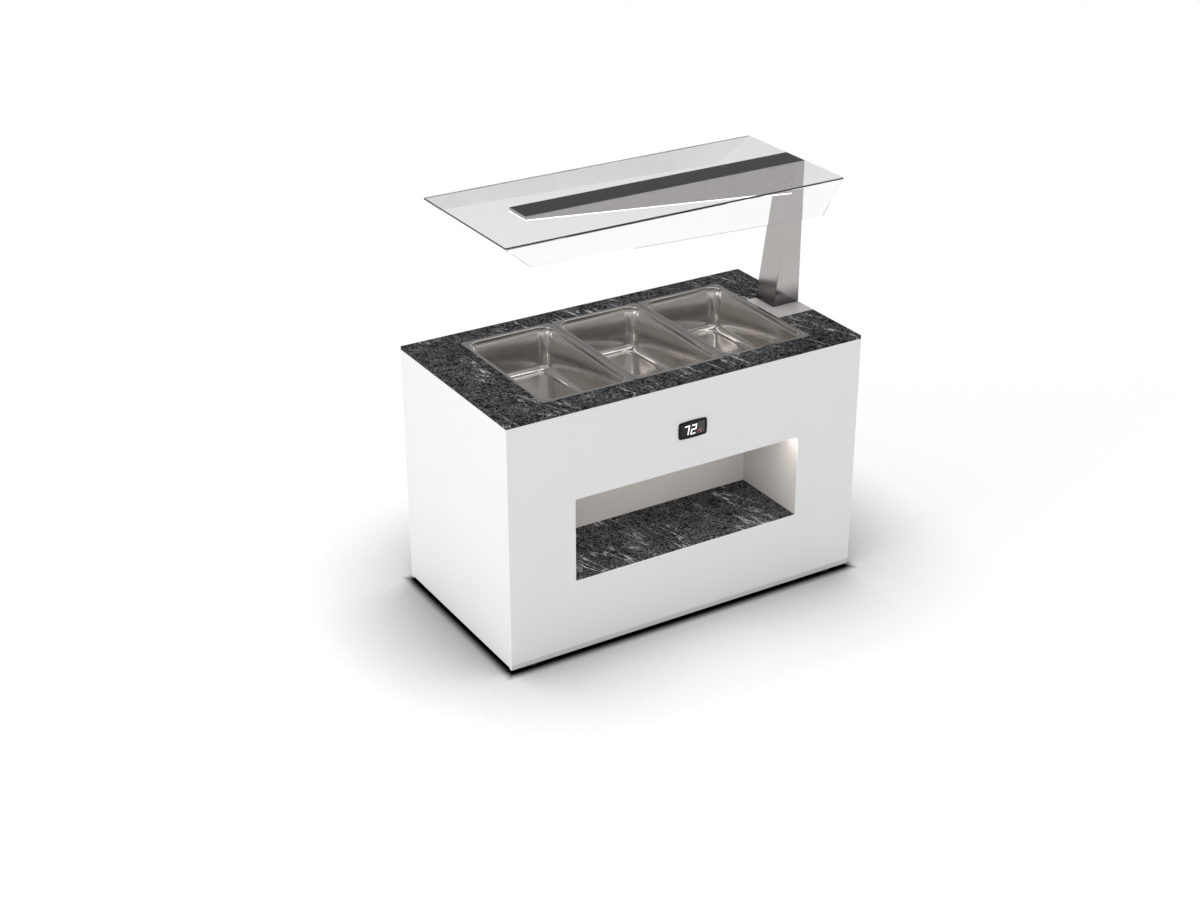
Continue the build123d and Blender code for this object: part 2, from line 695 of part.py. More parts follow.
def heating_element():
    """Tube heater in one long loop over the tank floor, with both ends out through the rear wall."""
    left = drain_x + DRAIN_FLANGE_RADIUS + HEATER_BEND
    route = [
        (heater_ends[0], heater_end_y, heater_z),
        (heater_ends[0], heater_rows[0], heater_z),
        (left, heater_rows[0], heater_z),
        (left, heater_rows[1], heater_z),
        (heater_ends[1], heater_rows[1], heater_z),
        (heater_ends[1], heater_end_y, heater_z),
    ]
    path = FilletPolyline(*route, radius=HEATER_BEND)
    return sweep(Plane(origin=path @ 0, z_dir=path % 0) * Circle(HEATER_RADIUS), path=path)


def heater_gland_nuts():
    """Nuts that draw the heater's ends tight against the tank's rear wall."""
    nuts = []
    for x in heater_ends:
        start = (x, tank_y + SHEET, heater_z)
        end = (x, tank_y + SHEET + GLAND_NUT_HEIGHT, heater_z)
        nuts.append(hex_rod(GLAND_NUT, start, end) - rod(HEATER_RADIUS + RUNNING, start, end))
    return nuts


def temperature_probe():
    """Sensor tube through the tank's rear wall, with its hexagon outside."""
    face = tank_y + SHEET
    tip = (probe_x, tank_y - PROBE_REACH, probe_z)
    sensor = rod(PROBE_RADIUS, tip, (probe_x, face + HEATER_TAIL, probe_z))
    return sensor + hex_rod(GLAND_NUT, (probe_x, face, probe_z), (probe_x, face + GLAND_NUT_HEIGHT, probe_z))


def drain_axis(low, high):
    """The drain's axis between two heights."""
    return (drain_x, drain_y, low), (drain_x, drain_y, high)


def drain_outlet():
    """Flanged spigot from the tank floor down to the valve."""
    flange_top = tank_floor + DRAIN_FLANGE
    outlet = rod(DRAIN_FLANGE_RADIUS, *drain_axis(tank_floor, flange_top))
    outlet += rod(DRAIN_BORE + DRAIN_WALL, *drain_axis(valve_top, tank_floor))
    return outlet - rod(DRAIN_BORE, *drain_axis(valve_top, flange_top))


def drain_valve_body():
    """Ball valve body with hexagon ends, a boss for the stem and an open outlet."""
    low = valve_top - VALVE_LENGTH
    body = rod(VALVE_RADIUS, *drain_axis(low + VALVE_HEX, valve_top - VALVE_HEX))
    body += hex_rod(2 * VALVE_RADIUS, *drain_axis(valve_top - VALVE_HEX, valve_top))
    body += hex_rod(2 * VALVE_RADIUS, *drain_axis(low, low + VALVE_HEX))
    body += rod(VALVE_BOSS_RADIUS, (drain_x, drain_y, valve_mid), (drain_x, lever_y, valve_mid))
    body -= rod(DRAIN_BORE, *drain_axis(low, valve_top))
    centre = (drain_x, drain_y, valve_mid)
    body -= Pos(*centre) * Sphere(ball_radius + CLEAR)
    return body - rod(VALVE_STEM_RADIUS + RUNNING, centre, (drain_x, lever_y, valve_mid))


def drain_valve_ball():
    """Ball with its bore turned across the pipe, and a socket for the stem."""
    ends = [(drain_x + side * ball_radius, drain_y, valve_mid) for side in (-1, 1)]
    ball = Pos(drain_x, drain_y, valve_mid) * Sphere(ball_radius) - rod(DRAIN_BORE, *ends)
    socket = [(drain_x, y, valve_mid) for y in (stem_foot, drain_y + ball_radius)]
    return ball - rod(VALVE_STEM_RADIUS + RUNNING, *socket)


def drain_valve_lever():
    """Stem and flat lever, shut across the pipe."""
    foot = (drain_x, stem_foot, valve_mid)
    stem = rod(VALVE_STEM_RADIUS, foot, (drain_x, lever_y, valve_mid))
    reach = LEVER_LENGTH - LEVER_WIDTH / 2
    face = Plane(origin=(drain_x, lever_y, valve_mid), x_dir=(1, 0, 0), z_dir=(0, 1, 0))
    blade = extrude(face * Pos(reach / 2, 0) * SlotCenterToCenter(reach, LEVER_WIDTH), LEVER)
    return stem + blade


# Niche


def niche_side_walls():
    """Sheets at both ends of the niche."""
    return [
        block(x, x + SHEET, niche_front, niche_back + SHEET, shelf_low, niche_top)
        for x in (-niche_x - SHEET, niche_x)
    ]


def niche_back_wall():
    """Sheet behind the niche."""
    return block(-niche_x, niche_x, niche_back, niche_back + SHEET, shelf_low, niche_top)


def niche_ceiling():
    """Sheet over the niche, slotted for the light."""
    sheet = block(
        -niche_x - SHEET, niche_x + SHEET, niche_front, niche_back + SHEET, niche_top, niche_top + SHEET
    )
    room = FITTED
    return sheet - block(
        -light_x - room, light_x + room, light_front - room, light_back + room, niche_top, niche_top + SHEET
    )


def niche_shelf():
    """Stone slab that is the niche's floor."""
    return block(-niche_x, niche_x, niche_front, niche_back, shelf_low, niche_bottom)


def niche_light_profile():
    """Channel that holds the niche's light, hung by its wings on the ceiling sheet."""
    channel = block(-light_x, light_x, light_front, light_back, niche_top, niche_top + LIGHT_HEIGHT)
    low = niche_top + SHEET
    wings = (light_front - LIGHT_WING, light_back + LIGHT_WING)
    channel += block(-light_x, light_x, *wings, low, low + LIGHT_WALL)
    inner = (light_front + LIGHT_WALL, light_back - LIGHT_WALL)
    return channel - block(-light_x, light_x, *inner, niche_top, niche_top + LIGHT_HEIGHT - LIGHT_WALL)


def niche_light_diffuser():
    """Opal strip that closes the light's channel."""
    inner = (light_front + LIGHT_WALL, light_back - LIGHT_WALL)
    return block(-light_x, light_x, *inner, niche_top, niche_top + DIFFUSER)


# Thermostat

window_width = DISPLAY_WIDTH - 2 * DISPLAY_RIM
window_height = DISPLAY_HEIGHT - 2 * DISPLAY_RIM
controller_width = window_width + 2 * CONTROLLER_LIP
controller_height = window_height + 2 * CONTROLLER_LIP
window_back = -half_depth - DISPLAY_PROUD + WINDOW_SET + WINDOW


def display_block(width, height, y0, y1):
    """A block centred on the display, seen from the front."""
    across = (DISPLAY_X - width / 2, DISPLAY_X + width / 2)
    return block(*across, y0, y1, display_z - height / 2, display_z + height / 2)


def thermostat_bezel():
    """Frame round the display with bowed sides and softened edges."""
    x, z = DISPLAY_WIDTH / 2, DISPLAY_HEIGHT / 2
    bow = DISPLAY_BOW
    corners = [(x - bow, z - bow), (bow - x, z - bow), (bow - x, bow - z), (x - bow, bow - z)]
    middles = [(0, z), (-x, 0), (0, -z), (x, 0)]
    arcs = [ThreePointArc(corners[i], middles[i], corners[(i + 1) % 4]) for i in range(4)]
    outline = make_face(Curve() + arcs)
    outline = fillet(outline.vertices(), DISPLAY_CORNER)
    front = Plane(origin=(DISPLAY_X, -half_depth, display_z), x_dir=(1, 0, 0), z_dir=(0, -1, 0))
    bezel = extrude(front * outline, DISPLAY_PROUD)
    bezel = fillet(bezel.faces().sort_by(Axis.Y)[0].edges(), DISPLAY_EDGE)
    return bezel - display_block(window_width, window_height, -half_depth - DISPLAY_PROUD, -half_depth)


def thermostat_window():
    """Tinted pane in the bezel."""
    room = 2 * FITTED
    return display_block(window_width - room, window_height - room, window_back - WINDOW, window_back)


def thermostat_body():
    """Controller behind the panel, with the clips that hold it there."""
    room = 2 * FITTED
    nose = display_block(window_width - room, window_height - room, window_back, -half_depth)
    case = display_block(controller_width, controller_height, -half_depth, -half_depth + CONTROLLER_DEPTH)
    clips = display_block(controller_width + 2 * CLIP_WIDTH, CLIP_WIDTH, niche_front, niche_front + CLIP)
    return nose + case + clips


# Switches


def switch_plate():
    """Plate behind both switches on the rear panel."""
    across = SWITCH_PLATE_WIDTH / 2
    up = SWITCH_PLATE_HEIGHT / 2
    faces = (half_depth, half_depth + SWITCH_PLATE)
    plate = block(switch_mid - across, switch_mid + across, *faces, switch_z - up, switch_z + up)
    for x in switch_centres.values():
        hole_x = SWITCH_WIDTH / 2 + FITTED
        hole_z = SWITCH_HEIGHT / 2 + FITTED
        plate -= block(x - hole_x, x + hole_x, *faces, switch_z - hole_z, switch_z + hole_z)
    return plate


def switch_housing(x):
    """Housing of one switch, open at its face, with bearings for the rocker."""
    plate_face = half_depth + SWITCH_PLATE
    half_x = SWITCH_WIDTH / 2
    half_z = SWITCH_HEIGHT / 2

    def layer(grow, y0, y1):
        """A block round the switch's middle, larger than its body by a margin all round."""
        across = half_x + grow
        up = half_z + grow
        return block(x - across, x + across, y0, y1, switch_z - up, switch_z + up)

    body = layer(0, plate_face - SWITCH_DEPTH, plate_face) + layer(SWITCH_RIM, plate_face, rim_face)
    body -= layer(-SWITCH_WALL, rocker_y - ROCKER_CAVITY, rim_face)
    bearing = TRUNNION_RADIUS + RUNNING
    return body - rod(bearing, (x - half_x, rocker_y, switch_z), (x + half_x, rocker_y, switch_z))


def switch_rocker(x):
    """Dished rocker on trunnions, tilted to its off side."""
    reach = SWITCH_WIDTH / 2 - SWITCH_WALL - SWITCH_CLEAR
    foot = rocker_half - ROCKER_DRAW_IN
    outline = [
        (ROCKER_PROUD, -rocker_half),
        (ROCKER_PROUD - ROCKER_DISH, 0),
        (ROCKER_PROUD, rocker_half),
        (-ROCKER_DROP, foot),
        (-ROCKER_DROP, -foot),
    ]
    rocker = prism_x(outline, -reach, reach)
    trunnion = SWITCH_WIDTH / 2 - SWITCH_CLEAR
    rocker += rod(TRUNNION_RADIUS, (-trunnion, 0, 0), (trunnion, 0, 0))
    return Pos(x, rocker_y, switch_z) * Rot(-ROCKER_TILT, 0, 0) * rocker


# Controls and leads


def box_layer(inset, y0, y1):
    """The control box's outline drawn in by an inset, between two depths."""
    return block(box_left + inset, box_right - inset, y0, y1, floor_top + inset, box_top - inset)


def control_box():
    """Sheet box on the floor panel, open to the rear."""
    return box_layer(0, box_front, box_rear) - box_layer(SHEET, box_front + SHEET, box_rear)


def control_box_cover():
    """Cover plate of the control box, with a lip that drops inside it."""
    wall = SHEET + CLEAR
    lip_front = box_rear - PANEL_FOLD
    lip = box_layer(wall, lip_front, box_rear) - box_layer(wall + SHEET, lip_front, box_rear)
    return box_layer(0, box_rear, box_rear + SHEET) + lip


def led_driver():
    """Driver for both lights, screwed down by its ears."""
    front = box_y - DRIVER_DEPTH / 2
    rear = box_y + DRIVER_DEPTH / 2
    right = driver_left + DRIVER_WIDTH
    case = block(driver_left, right, front, rear, floor_top, floor_top + DRIVER_HEIGHT)
    ears = (front - DRIVER_EAR, rear + DRIVER_EAR)
    return case + block(driver_left, right, *ears, floor_top, floor_top + SHEET)


def cable_gland():
    """Gland through the floor panel and the nut that holds it."""

    def at(z):
        """A point on the gland's axis."""
        return gland_x, gland_y, z

    low = floor_low - GLAND_HEAD
    high = floor_top + GLAND_LOCK
    body = rod(GLAND_RADIUS, at(floor_low), at(high)) + hex_rod(GLAND_HEX, at(low), at(floor_low))
    nut = hex_rod(GLAND_HEX, at(floor_top), at(high)) - rod(GLAND_RADIUS + RUNNING, at(floor_top), at(high))
    return [body - rod(GLAND_BORE, at(low), at(high)), nut]


def lead(points, bend):
    """A round lead along straight runs joined by arcs."""
    path = FilletPolyline(*points, radius=bend)
    return sweep(Plane(origin=path @ 0, z_dir=path % 0) * Circle(LEAD_RADIUS), path=path)


def heater_lead(x, entry_x):
    """Lead from one end of the heater down into the control box."""
    drop_y = heater_end_y + LEAD_SET
    points = [
        (x, heater_end_y, heater_z),
        (x, drop_y, heater_z),
        (x, drop_y, box_top + LEAD_KNEE),
        (entry_x, box_y, box_top + LEAD_RISE),
        (entry_x, box_y, box_top),
    ]
    return lead(points, LEAD_BEND)


def thermostat_lead():
    """Lead from the controller, over the niche and down behind it into the control box."""
    front_y = -half_depth + CONTROLLER_DEPTH - LEAD_INSET
    back_y = niche_back + LEAD_BACK
    over_niche = (niche_top + insulation_low) / 2
    entry_x = box_left + LEAD_ENTRY
    points = [
        (DISPLAY_X, front_y, display_z - controller_height / 2),
        (DISPLAY_X, front_y, over_niche),
        (DISPLAY_X, back_y, over_niche),
        (DISPLAY_X, back_y, box_top + LEAD_KNEE),
        (entry_x, box_y, box_top + LEAD_RISE),
        (entry_x, box_y, box_top),
    ]
    return lead(points, LEAD_BEND)


def canopy_lead():
    """Lead of the canopy's light, from the post's backing plate down to the driver."""
    driver_x = driver_left + DRIVER_WIDTH / 2
    driver_top = floor_top + DRIVER_HEIGHT
    points = [
        (bolt_x, CANOPY_Y, stone_low - BACKING_PLATE),
        (bolt_x, CANOPY_Y, driver_top + CANOPY_LEAD_KNEE),
        (driver_x, box_y, driver_top + CANOPY_LEAD_RISE),
        (driver_x, box_y, driver_top),
    ]
    return lead(points, CANOPY_LEAD_BEND)


def wiring_leads():
    """All four leads; the heater's two enter the control box as far apart as they leave the tank."""
    entries = [box_right - LEAD_ENTRY, box_right - LEAD_ENTRY - HEATER_SPACING]
    heater_leads = [heater_lead(x, entry_x) for x, entry_x in zip(heater_ends, entries)]
    return heater_leads + [thermostat_lead(), canopy_lead()]


# Canopy


def base_plate_block():
    """Space of the base plate, let into the worktop."""
    return block(
        row_right + BASE_PLATE_GAP,
        half_length,
        arm_back - BASE_PLATE_DEPTH,
        arm_back,
        COUNTER_HEIGHT - BASE_PLATE,
        COUNTER_HEIGHT,
    )


def cable_bore(low, high):
    """Hole for the canopy light's lead, between the bolts."""
    return rod(CABLE_HOLE_RADIUS, (bolt_x, CANOPY_Y, low), (bolt_x, CANOPY_Y, high))


def post_base_plate():
    """Polished plate under the post."""
    plate = base_plate_block()
    low = COUNTER_HEIGHT - BASE_PLATE
    for x, y in bolt_points:
        plate -= rod(BOLT_HOLE_RADIUS, (x, y, low), (x, y, COUNTER_HEIGHT))
    return plate - cable_bore(low, COUNTER_HEIGHT)


def post_backing_plate():
    """Steel plate under the worktop that spreads the post's bolts."""
    across = BOLT_SPACING_X / 2 + BACKING_MARGIN
    along = BOLT_SPACING_Y / 2 + BACKING_MARGIN
    low = stone_low - BACKING_PLATE
    plate = block(bolt_x - across, bolt_x + across, CANOPY_Y - along, CANOPY_Y + along, low, stone_low)
    for x, y in bolt_points:
        plate -= rod(BOLT_HOLE_RADIUS, (x, y, low), (x, y, stone_low))
    return plate - cable_bore(low, stone_low)


def post_bolts():
    """Bolts up through the backing plate, stone and base plate into the post's foot."""
    seat = stone_low - BACKING_PLATE
    return [
        hex_rod(BOLT_HEAD, (x, y, seat - BOLT_HEAD_HEIGHT), (x, y, seat))
        + rod(BOLT_RADIUS, (x, y, seat), (x, y, COUNTER_HEIGHT + BOLT_BITE))
        for x, y in bolt_points
    ]


def post_face_x(z, inset=0.0):
    """Where the post's leaning face stands at a height, drawn in by a wall."""
    return post_left + (z - COUNTER_HEIGHT) * tan(post_lean) + inset / cos(post_lean)


def arm_bore():
    """Hole for the light's lead, from the post into the arm."""
    z = arm_top - ARM_ROOT / 2
    x = post_face_x(z)
    reach = POST_HEAD / 2
    return rod(CABLE_HOLE_RADIUS, (x - reach, CANOPY_Y, z), (x + reach, CANOPY_Y, z))


def canopy_post():
    """Hollow post with one leaning face, closed at its head, with a drilled plate in its foot."""
    wall = CANOPY_SHEET
    outer = [
        (post_left, COUNTER_HEIGHT),
        (half_length, COUNTER_HEIGHT),
        (half_length, arm_top),
        (post_face_x(arm_top), arm_top),
    ]
    floor_z = COUNTER_HEIGHT + POST_FLOOR
    inner = [
        (post_face_x(floor_z, wall), floor_z),
        (half_length - wall, floor_z),
        (half_length - wall, arm_top - wall),
        (post_face_x(arm_top - wall, wall), arm_top - wall),
    ]
    post = prism_y(outer, arm_front, arm_back) - prism_y(inner, arm_front + wall, arm_back - wall)
    for x, y in bolt_points:
        post -= rod(BOLT_RADIUS + RUNNING, (x, y, COUNTER_HEIGHT), (x, y, floor_z))
    return post - cable_bore(COUNTER_HEIGHT, floor_z) - arm_bore()


arm_root_z = arm_top - ARM_ROOT
arm_slope = atan2(ARM_ROOT - ARM_TIP, post_face_x(arm_root_z) - arm_tip_x)


def arm_under_z(x):
    """Height of the arm's sloping underside."""
    return arm_top - ARM_TIP - (x - arm_tip_x) * tan(arm_slope)


def canopy_arm():
    """Tapered arm, open below: top, two cheeks and both ends."""
    wall = CANOPY_SHEET
    root_x = post_face_x(arm_root_z)
    outer = [
        (arm_tip_x, arm_top),
        (post_face_x(arm_top), arm_top),
        (root_x, arm_root_z),
        (arm_tip_x, arm_top - ARM_TIP),
    ]
    below = arm_root_z - ARM_TIP
    inner = [
        (arm_tip_x + wall, arm_top - wall),
        (post_face_x(arm_top - wall, -wall), arm_top - wall),
        (post_face_x(below, -wall), below),
        (arm_tip_x + wall, below),
    ]
    arm = prism_y(outer, arm_front, arm_back) - prism_y(inner, arm_front + wall, arm_back - wall)
    return arm - arm_bore()


def arm_light_board():
    """Light strip under the arm's top plate."""
    left = arm_tip_x + LED_BOARD_END
    right = post_face_x(arm_root_z) - LED_BOARD_END
    high = arm_top - CANOPY_SHEET
    half = LED_BOARD_WIDTH / 2
    return block(left, right, CANOPY_Y - half, CANOPY_Y + half, high - LED_BOARD, high)


def sloped_strip(left, right, rise, drop, y0, y1):
    """A strip that follows the arm's underside, from above it to below it."""
    outline = [
        (left, arm_under_z(left) + rise),
        (right, arm_under_z(right) + rise),
        (right, arm_under_z(right) - drop),
        (left, arm_under_z(left) - drop),
    ]
    return prism_y(outline, y0, y1)


def arm_light_diffuser():
    """Opal cover over the whole underside of the arm, with two legs inside the cheeks."""
    right = post_face_x(arm_root_z - ARM_DIFFUSER) - CLEAR
    cover = sloped_strip(arm_tip_x, right, 0, ARM_DIFFUSER, arm_front, arm_back)
    wall = CANOPY_SHEET
    leg_left = arm_tip_x + wall + CLEAR
    leg_right = right - 2 * wall
    for y in (arm_front + wall, arm_back - 2 * wall):
        cover += sloped_strip(leg_left, leg_right, ARM_DIFFUSER_LEG, 0, y, y + wall)
    return cover


def glass_bonding_strip():
    """Black bonding layer between the arm and the glass."""
    inset = CANOPY_SHEET
    return block(
        arm_tip_x + inset, glass_right, arm_front + inset, arm_back - inset, arm_top, glass_low
    )


def canopy_top_glass():
    """Flat pane over the arm."""
    middle = (glass_left + glass_right) / 2
    length = glass_right - glass_left
    return upright(middle, CANOPY_Y, glass_low, length, GLASS_DEPTH, GLASS, GLASS_CORNER)


def canopy_front_glass():
    """Sloping pane bonded under the top pane's front edge, its low edge falling towards the post."""
    tilt = radians(PANE_TILT)
    edge_y = CANOPY_Y - GLASS_DEPTH / 2
    face = Plane(origin=(0, edge_y, glass_low), x_dir=(1, 0, 0), z_dir=(0, -cos(tilt), sin(tilt)))
    above = 2 * GLASS
    left = glass_left + GLASS_CORNER
    right = glass_right - GLASS_CORNER
    outline = [
        (left, above),
        (right, above),
        (right, 0),
        (right - PANE_RIGHT * PANE_END_SLANT, -PANE_RIGHT),
        (left + PANE_LEFT * PANE_END_SLANT, -PANE_LEFT),
        (left, 0),
    ]
    pane = extrude(face * make_face(Polyline(*outline, close=True)), -GLASS)
    return pane - block(
        glass_left, glass_right, edge_y - GLASS_DEPTH, edge_y + GLASS_DEPTH, glass_low, glass_low + 4 * GLASS
    )


def canopy_rear_glass():
    """Twin of the front pane on the other side of the arm."""
    return mirror(canopy_front_glass(), about=Plane.XZ.offset(-CANOPY_Y))


os.makedirs("parts", exist_ok=True)

save("frame_tubes", *frame_rails(), *corner_posts())
save("floor_panel", floor_panel())
for foot_name, (foot_x, foot_y) in foot_points.items():
    save(foot_name, levelling_foot(foot_x, foot_y))
save("front_panel", front_panel())
save("left_side_panel", side_panel(-1))
save("right_side_panel", side_panel(1))
save("rear_panel", rear_panel())
for door_name, door_side in (("left_door", -1), ("right_door", 1)):
    save(door_name, door(door_side))
    save(f"{door_name}_hinge_leaves", *hinge_leaves(door_side, on_door=True))
save("hinge_frame_leaves", *hinge_leaves(-1, on_door=False), *hinge_leaves(1, on_door=False))
save("hinge_pins", *hinge_pins())
save("door_magnets", *door_magnets())
save("worktop", worktop())
save("water_tank", water_tank())
save("tank_insulation", tank_insulation())
save("pan_support_bars", *pan_support_bars())
for pan_name, pan_x in zip(PAN_NAMES, pan_centres):
    save(pan_name, food_pan(pan_x))
save("heating_element", heating_element())
save("heater_gland_nuts", *heater_gland_nuts())
save("temperature_probe", temperature_probe())
save("drain_outlet", drain_outlet())
save("drain_valve_body", drain_valve_body())
save("drain_valve_ball", drain_valve_ball())
save("drain_valve_lever", drain_valve_lever())
save("niche_side_walls", *niche_side_walls())
save("niche_back_wall", niche_back_wall())
save("niche_ceiling", niche_ceiling())
save("niche_shelf", niche_shelf())
save("niche_light_profile", niche_light_profile())
save("niche_light_diffuser", niche_light_diffuser())
save("thermostat_bezel", thermostat_bezel())
save("thermostat_window", thermostat_window())
save("thermostat_body", thermostat_body())
save("switch_plate", switch_plate())
save("switch_housings", *[switch_housing(x) for x in switch_centres.values()])
for switch_name, switch_x in switch_centres.items():
    save(f"{switch_name}_rocker", switch_rocker(switch_x))
save("control_box", control_box())
save("control_box_cover", control_box_cover())
save("led_driver", led_driver())
save("cable_gland", *cable_gland())
save("wiring_leads", *wiring_leads())
save("post_base_plate", post_base_plate())
save("post_backing_plate", post_backing_plate())
save("post_bolts", *post_bolts())
save("canopy_post", canopy_post())
save("canopy_arm", canopy_arm())
save("arm_light_board", arm_light_board())
save("arm_light_diffuser", arm_light_diffuser())
save("glass_bonding_strip", glass_bonding_strip())
save("canopy_top_glass", canopy_top_glass())
save("canopy_front_glass", canopy_front_glass())
save("canopy_rear_glass", canopy_rear_glass())
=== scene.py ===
# %% [markdown]
# # A bain marie counter, dressed for the studio
# The construction of this counter is already packed: every panel, pan, hinge and pane has its true
# size and place. This lesson gives it its looks. It loads that model as a fixed frame, writes a
# finish for each material of the counter, models what the bare solids leave out, and lights it.

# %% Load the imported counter
import json
from math import atan2, cos, pi, radians, sin, tan

import bmesh
import bpy
from mathutils import Matrix, Vector
from mathutils.bvhtree import BVHTree


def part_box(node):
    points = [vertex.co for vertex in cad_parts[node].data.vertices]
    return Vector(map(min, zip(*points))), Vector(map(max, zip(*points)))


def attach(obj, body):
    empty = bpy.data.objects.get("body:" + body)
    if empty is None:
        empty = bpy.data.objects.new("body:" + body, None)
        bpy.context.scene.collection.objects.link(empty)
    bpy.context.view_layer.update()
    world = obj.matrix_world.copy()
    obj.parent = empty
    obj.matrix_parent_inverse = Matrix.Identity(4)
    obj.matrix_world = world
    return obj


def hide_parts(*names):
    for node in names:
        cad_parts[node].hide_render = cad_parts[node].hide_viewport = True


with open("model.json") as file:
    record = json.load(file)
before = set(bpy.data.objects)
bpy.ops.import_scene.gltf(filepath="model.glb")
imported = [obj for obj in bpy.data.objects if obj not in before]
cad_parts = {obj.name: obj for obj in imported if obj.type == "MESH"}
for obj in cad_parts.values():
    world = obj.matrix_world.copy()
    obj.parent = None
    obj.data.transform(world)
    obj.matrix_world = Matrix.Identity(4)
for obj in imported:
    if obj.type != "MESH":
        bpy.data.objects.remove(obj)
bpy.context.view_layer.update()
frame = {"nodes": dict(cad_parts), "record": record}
nodes = frame["nodes"]
record = frame["record"]
slot_of = {part["node"]: part["material_slot"] for part in record["subparts"]}
body_of = {node: body for body, members in record["behaviour"]["bodies"].items() for node in members}

# %% [markdown]
# ## Shader maths as plain expressions
# Finishes are mostly sums: a base roughness plus a little noise, one mask times another. In the
# node editor each plus sign is a Math node. A small class can hold a socket and answer to +, - and
# * by adding that node, so a finish reads like the sentence that describes it.

# %% A socket that answers to arithmetic
class Level:
    """A value that varies over a surface: one output socket of a finish's node tree."""

    def __init__(self, finish, socket):
        self.finish = finish
        self.socket = socket

    def maths(self, operation, first, second):
        return self.finish.node("ShaderNodeMath", {"operation": operation}, {0: first, 1: second})

    def __add__(self, other):
        return self.maths("ADD", self, other)

    def __sub__(self, other):
        return self.maths("SUBTRACT", self, other)

    def __rsub__(self, other):
        return self.maths("SUBTRACT", other, self)

    def __mul__(self, other):
        return self.maths("MULTIPLY", self, other)

    def __pow__(self, other):
        return self.maths("POWER", self, other)

    def __abs__(self):
        return self.maths("ABSOLUTE", self, 0.0)

    def larger(self, other):
        return self.maths("MAXIMUM", self, other)

    def rise(self, start, end):
        """0 up to start, 1 from end on, smooth between them. With start above end it falls instead."""
        settings = {"interpolation_type": "SMOOTHSTEP"}
        return self.finish.node("ShaderNodeMapRange", settings, {"Value": self, 1: start, 2: end})

    __radd__ = __add__
    __rmul__ = __mul__


print("a Level answers to +, -, *, ** and abs, and has the methods larger and rise")

# %% [markdown]
# Every other node comes from one method. It takes the node's type, then its settings, because some
# settings change which sockets a node has, then what goes into the sockets: a plain value, or a
# Level. The same class makes the few nodes that most finishes share. The Mix node has a set of
# sockets for each kind of data under the same names, so its colour sockets are picked by number.

# %% A finish under construction
MIX_SHARE = 0
MIX_FIRST = 6
MIX_SECOND = 7
MIXED_COLOUR = 2


class Finish:
    """A node tree that is being built for a material or for the world."""

    def __init__(self, name, owner=None):
        self.owner = owner or bpy.data.materials.new(name)
        self.owner.use_nodes = True
        self.tree = self.owner.node_tree
        self.tree.nodes.clear()

    def node(self, kind, settings, inputs, output=0):
        made = self.tree.nodes.new(kind)
        for name, value in settings.items():
            setattr(made, name, value)
        for key, value in inputs.items():
            if isinstance(value, Level):
                self.tree.links.new(value.socket, made.inputs[key])
            else:
                made.inputs[key].default_value = value
        return Level(self, made.outputs[output])

    def place(self, output="Object"):
        return self.node("ShaderNodeTexCoord", {}, {}, output)

    def turned(self, place, scale, turn=(0, 0, 0)):
        settings = {"vector_type": "TEXTURE"}
        size = [1 / factor for factor in scale]
        return self.node("ShaderNodeMapping", settings, {"Vector": place, "Rotation": turn, "Scale": size})

    def noise(self, place, scale, detail=3.0, roughness=0.55, curl=0.0):
        size = {"Vector": place, "Scale": scale}
        character = {"Detail": detail, "Roughness": roughness, "Distortion": curl}
        return self.node("ShaderNodeTexNoise", {}, {**size, **character})

    def axis(self, vector, name):
        return self.node("ShaderNodeSeparateXYZ", {}, {"Vector": vector}, name)

    def ray(self, kind):
        """1 for rays of this kind, 0 for all others."""
        return self.node("ShaderNodeLightPath", {}, {}, f"Is {kind} Ray")

    def mix(self, share, first, second):
        """A colour between two. A grey is written as one number."""
        shades = {MIX_FIRST: first, MIX_SECOND: second}
        for socket, shade in shades.items():
            if isinstance(shade, (int, float)):
                shade = (shade, shade, shade)
            shades[socket] = shade if isinstance(shade, Level) else (*shade, 1)
        return self.node("ShaderNodeMix", {"data_type": "RGBA"}, {MIX_SHARE: share, **shades}, MIXED_COLOUR)

    def bump(self, height, strength, distance):
        inputs = {"Height": height, "Strength": strength, "Distance": distance}
        return self.node("ShaderNodeBump", {}, inputs)

    def shader(self, inputs):
        return self.node("ShaderNodeBsdfPrincipled", {}, inputs)

    def blend(self, share, first, second):
        """A shader between two others."""
        return self.node("ShaderNodeMixShader", {}, {0: share, 1: first, 2: second})

    def done(self, surface):
        kind = "World" if isinstance(self.owner, bpy.types.World) else "Material"
        output = self.tree.nodes.new(f"ShaderNodeOutput{kind}")
        self.tree.links.new(surface.socket, output.inputs["Surface"])
        return self.owner


finishes = {}
print("ready to write finishes for", len({*slot_of.values()}), "material slots")

# %% [markdown]
# ## The white powder coat
# The casing is folded sheet with a baked powder coat. Powder melts into a skin that is never quite
# flat: at arm's length it shows as a fine orange peel in the gloss. So the coat gets a nearly even
# white, a roughness that wanders a little, and a very low bump of about two millimetres. Faces that
# look down, such as the low folds of the casing, get a painted shade: there the white is greyer.

# %% White coat
LOOKS_DOWN = (-0.05, -0.09)
PAINTED_SHADE_SHARE = 0.7
PAINTED_SHADE_WHITE = 0.62


def white_coat():
    finish = Finish("white_coat")
    place = finish.place()
    peel = finish.noise(place, 520, detail=2)
    cloud = finish.noise(place, 5)
    # Painted shade: faces that look down are mixed towards a greyer white.
    shade_painted = finish.axis(finish.place("Normal"), "Z").rise(*LOOKS_DOWN)
    plain_white = finish.mix(cloud, (0.785, 0.785, 0.785), (0.815, 0.815, 0.81))
    return finish.done(finish.shader({
        "Base Color": finish.mix(shade_painted * PAINTED_SHADE_SHARE, plain_white, PAINTED_SHADE_WHITE),
        "Roughness": 0.4 + 0.1 * cloud,
        "Normal": finish.bump(peel, 0.06, 0.0003),
    }))


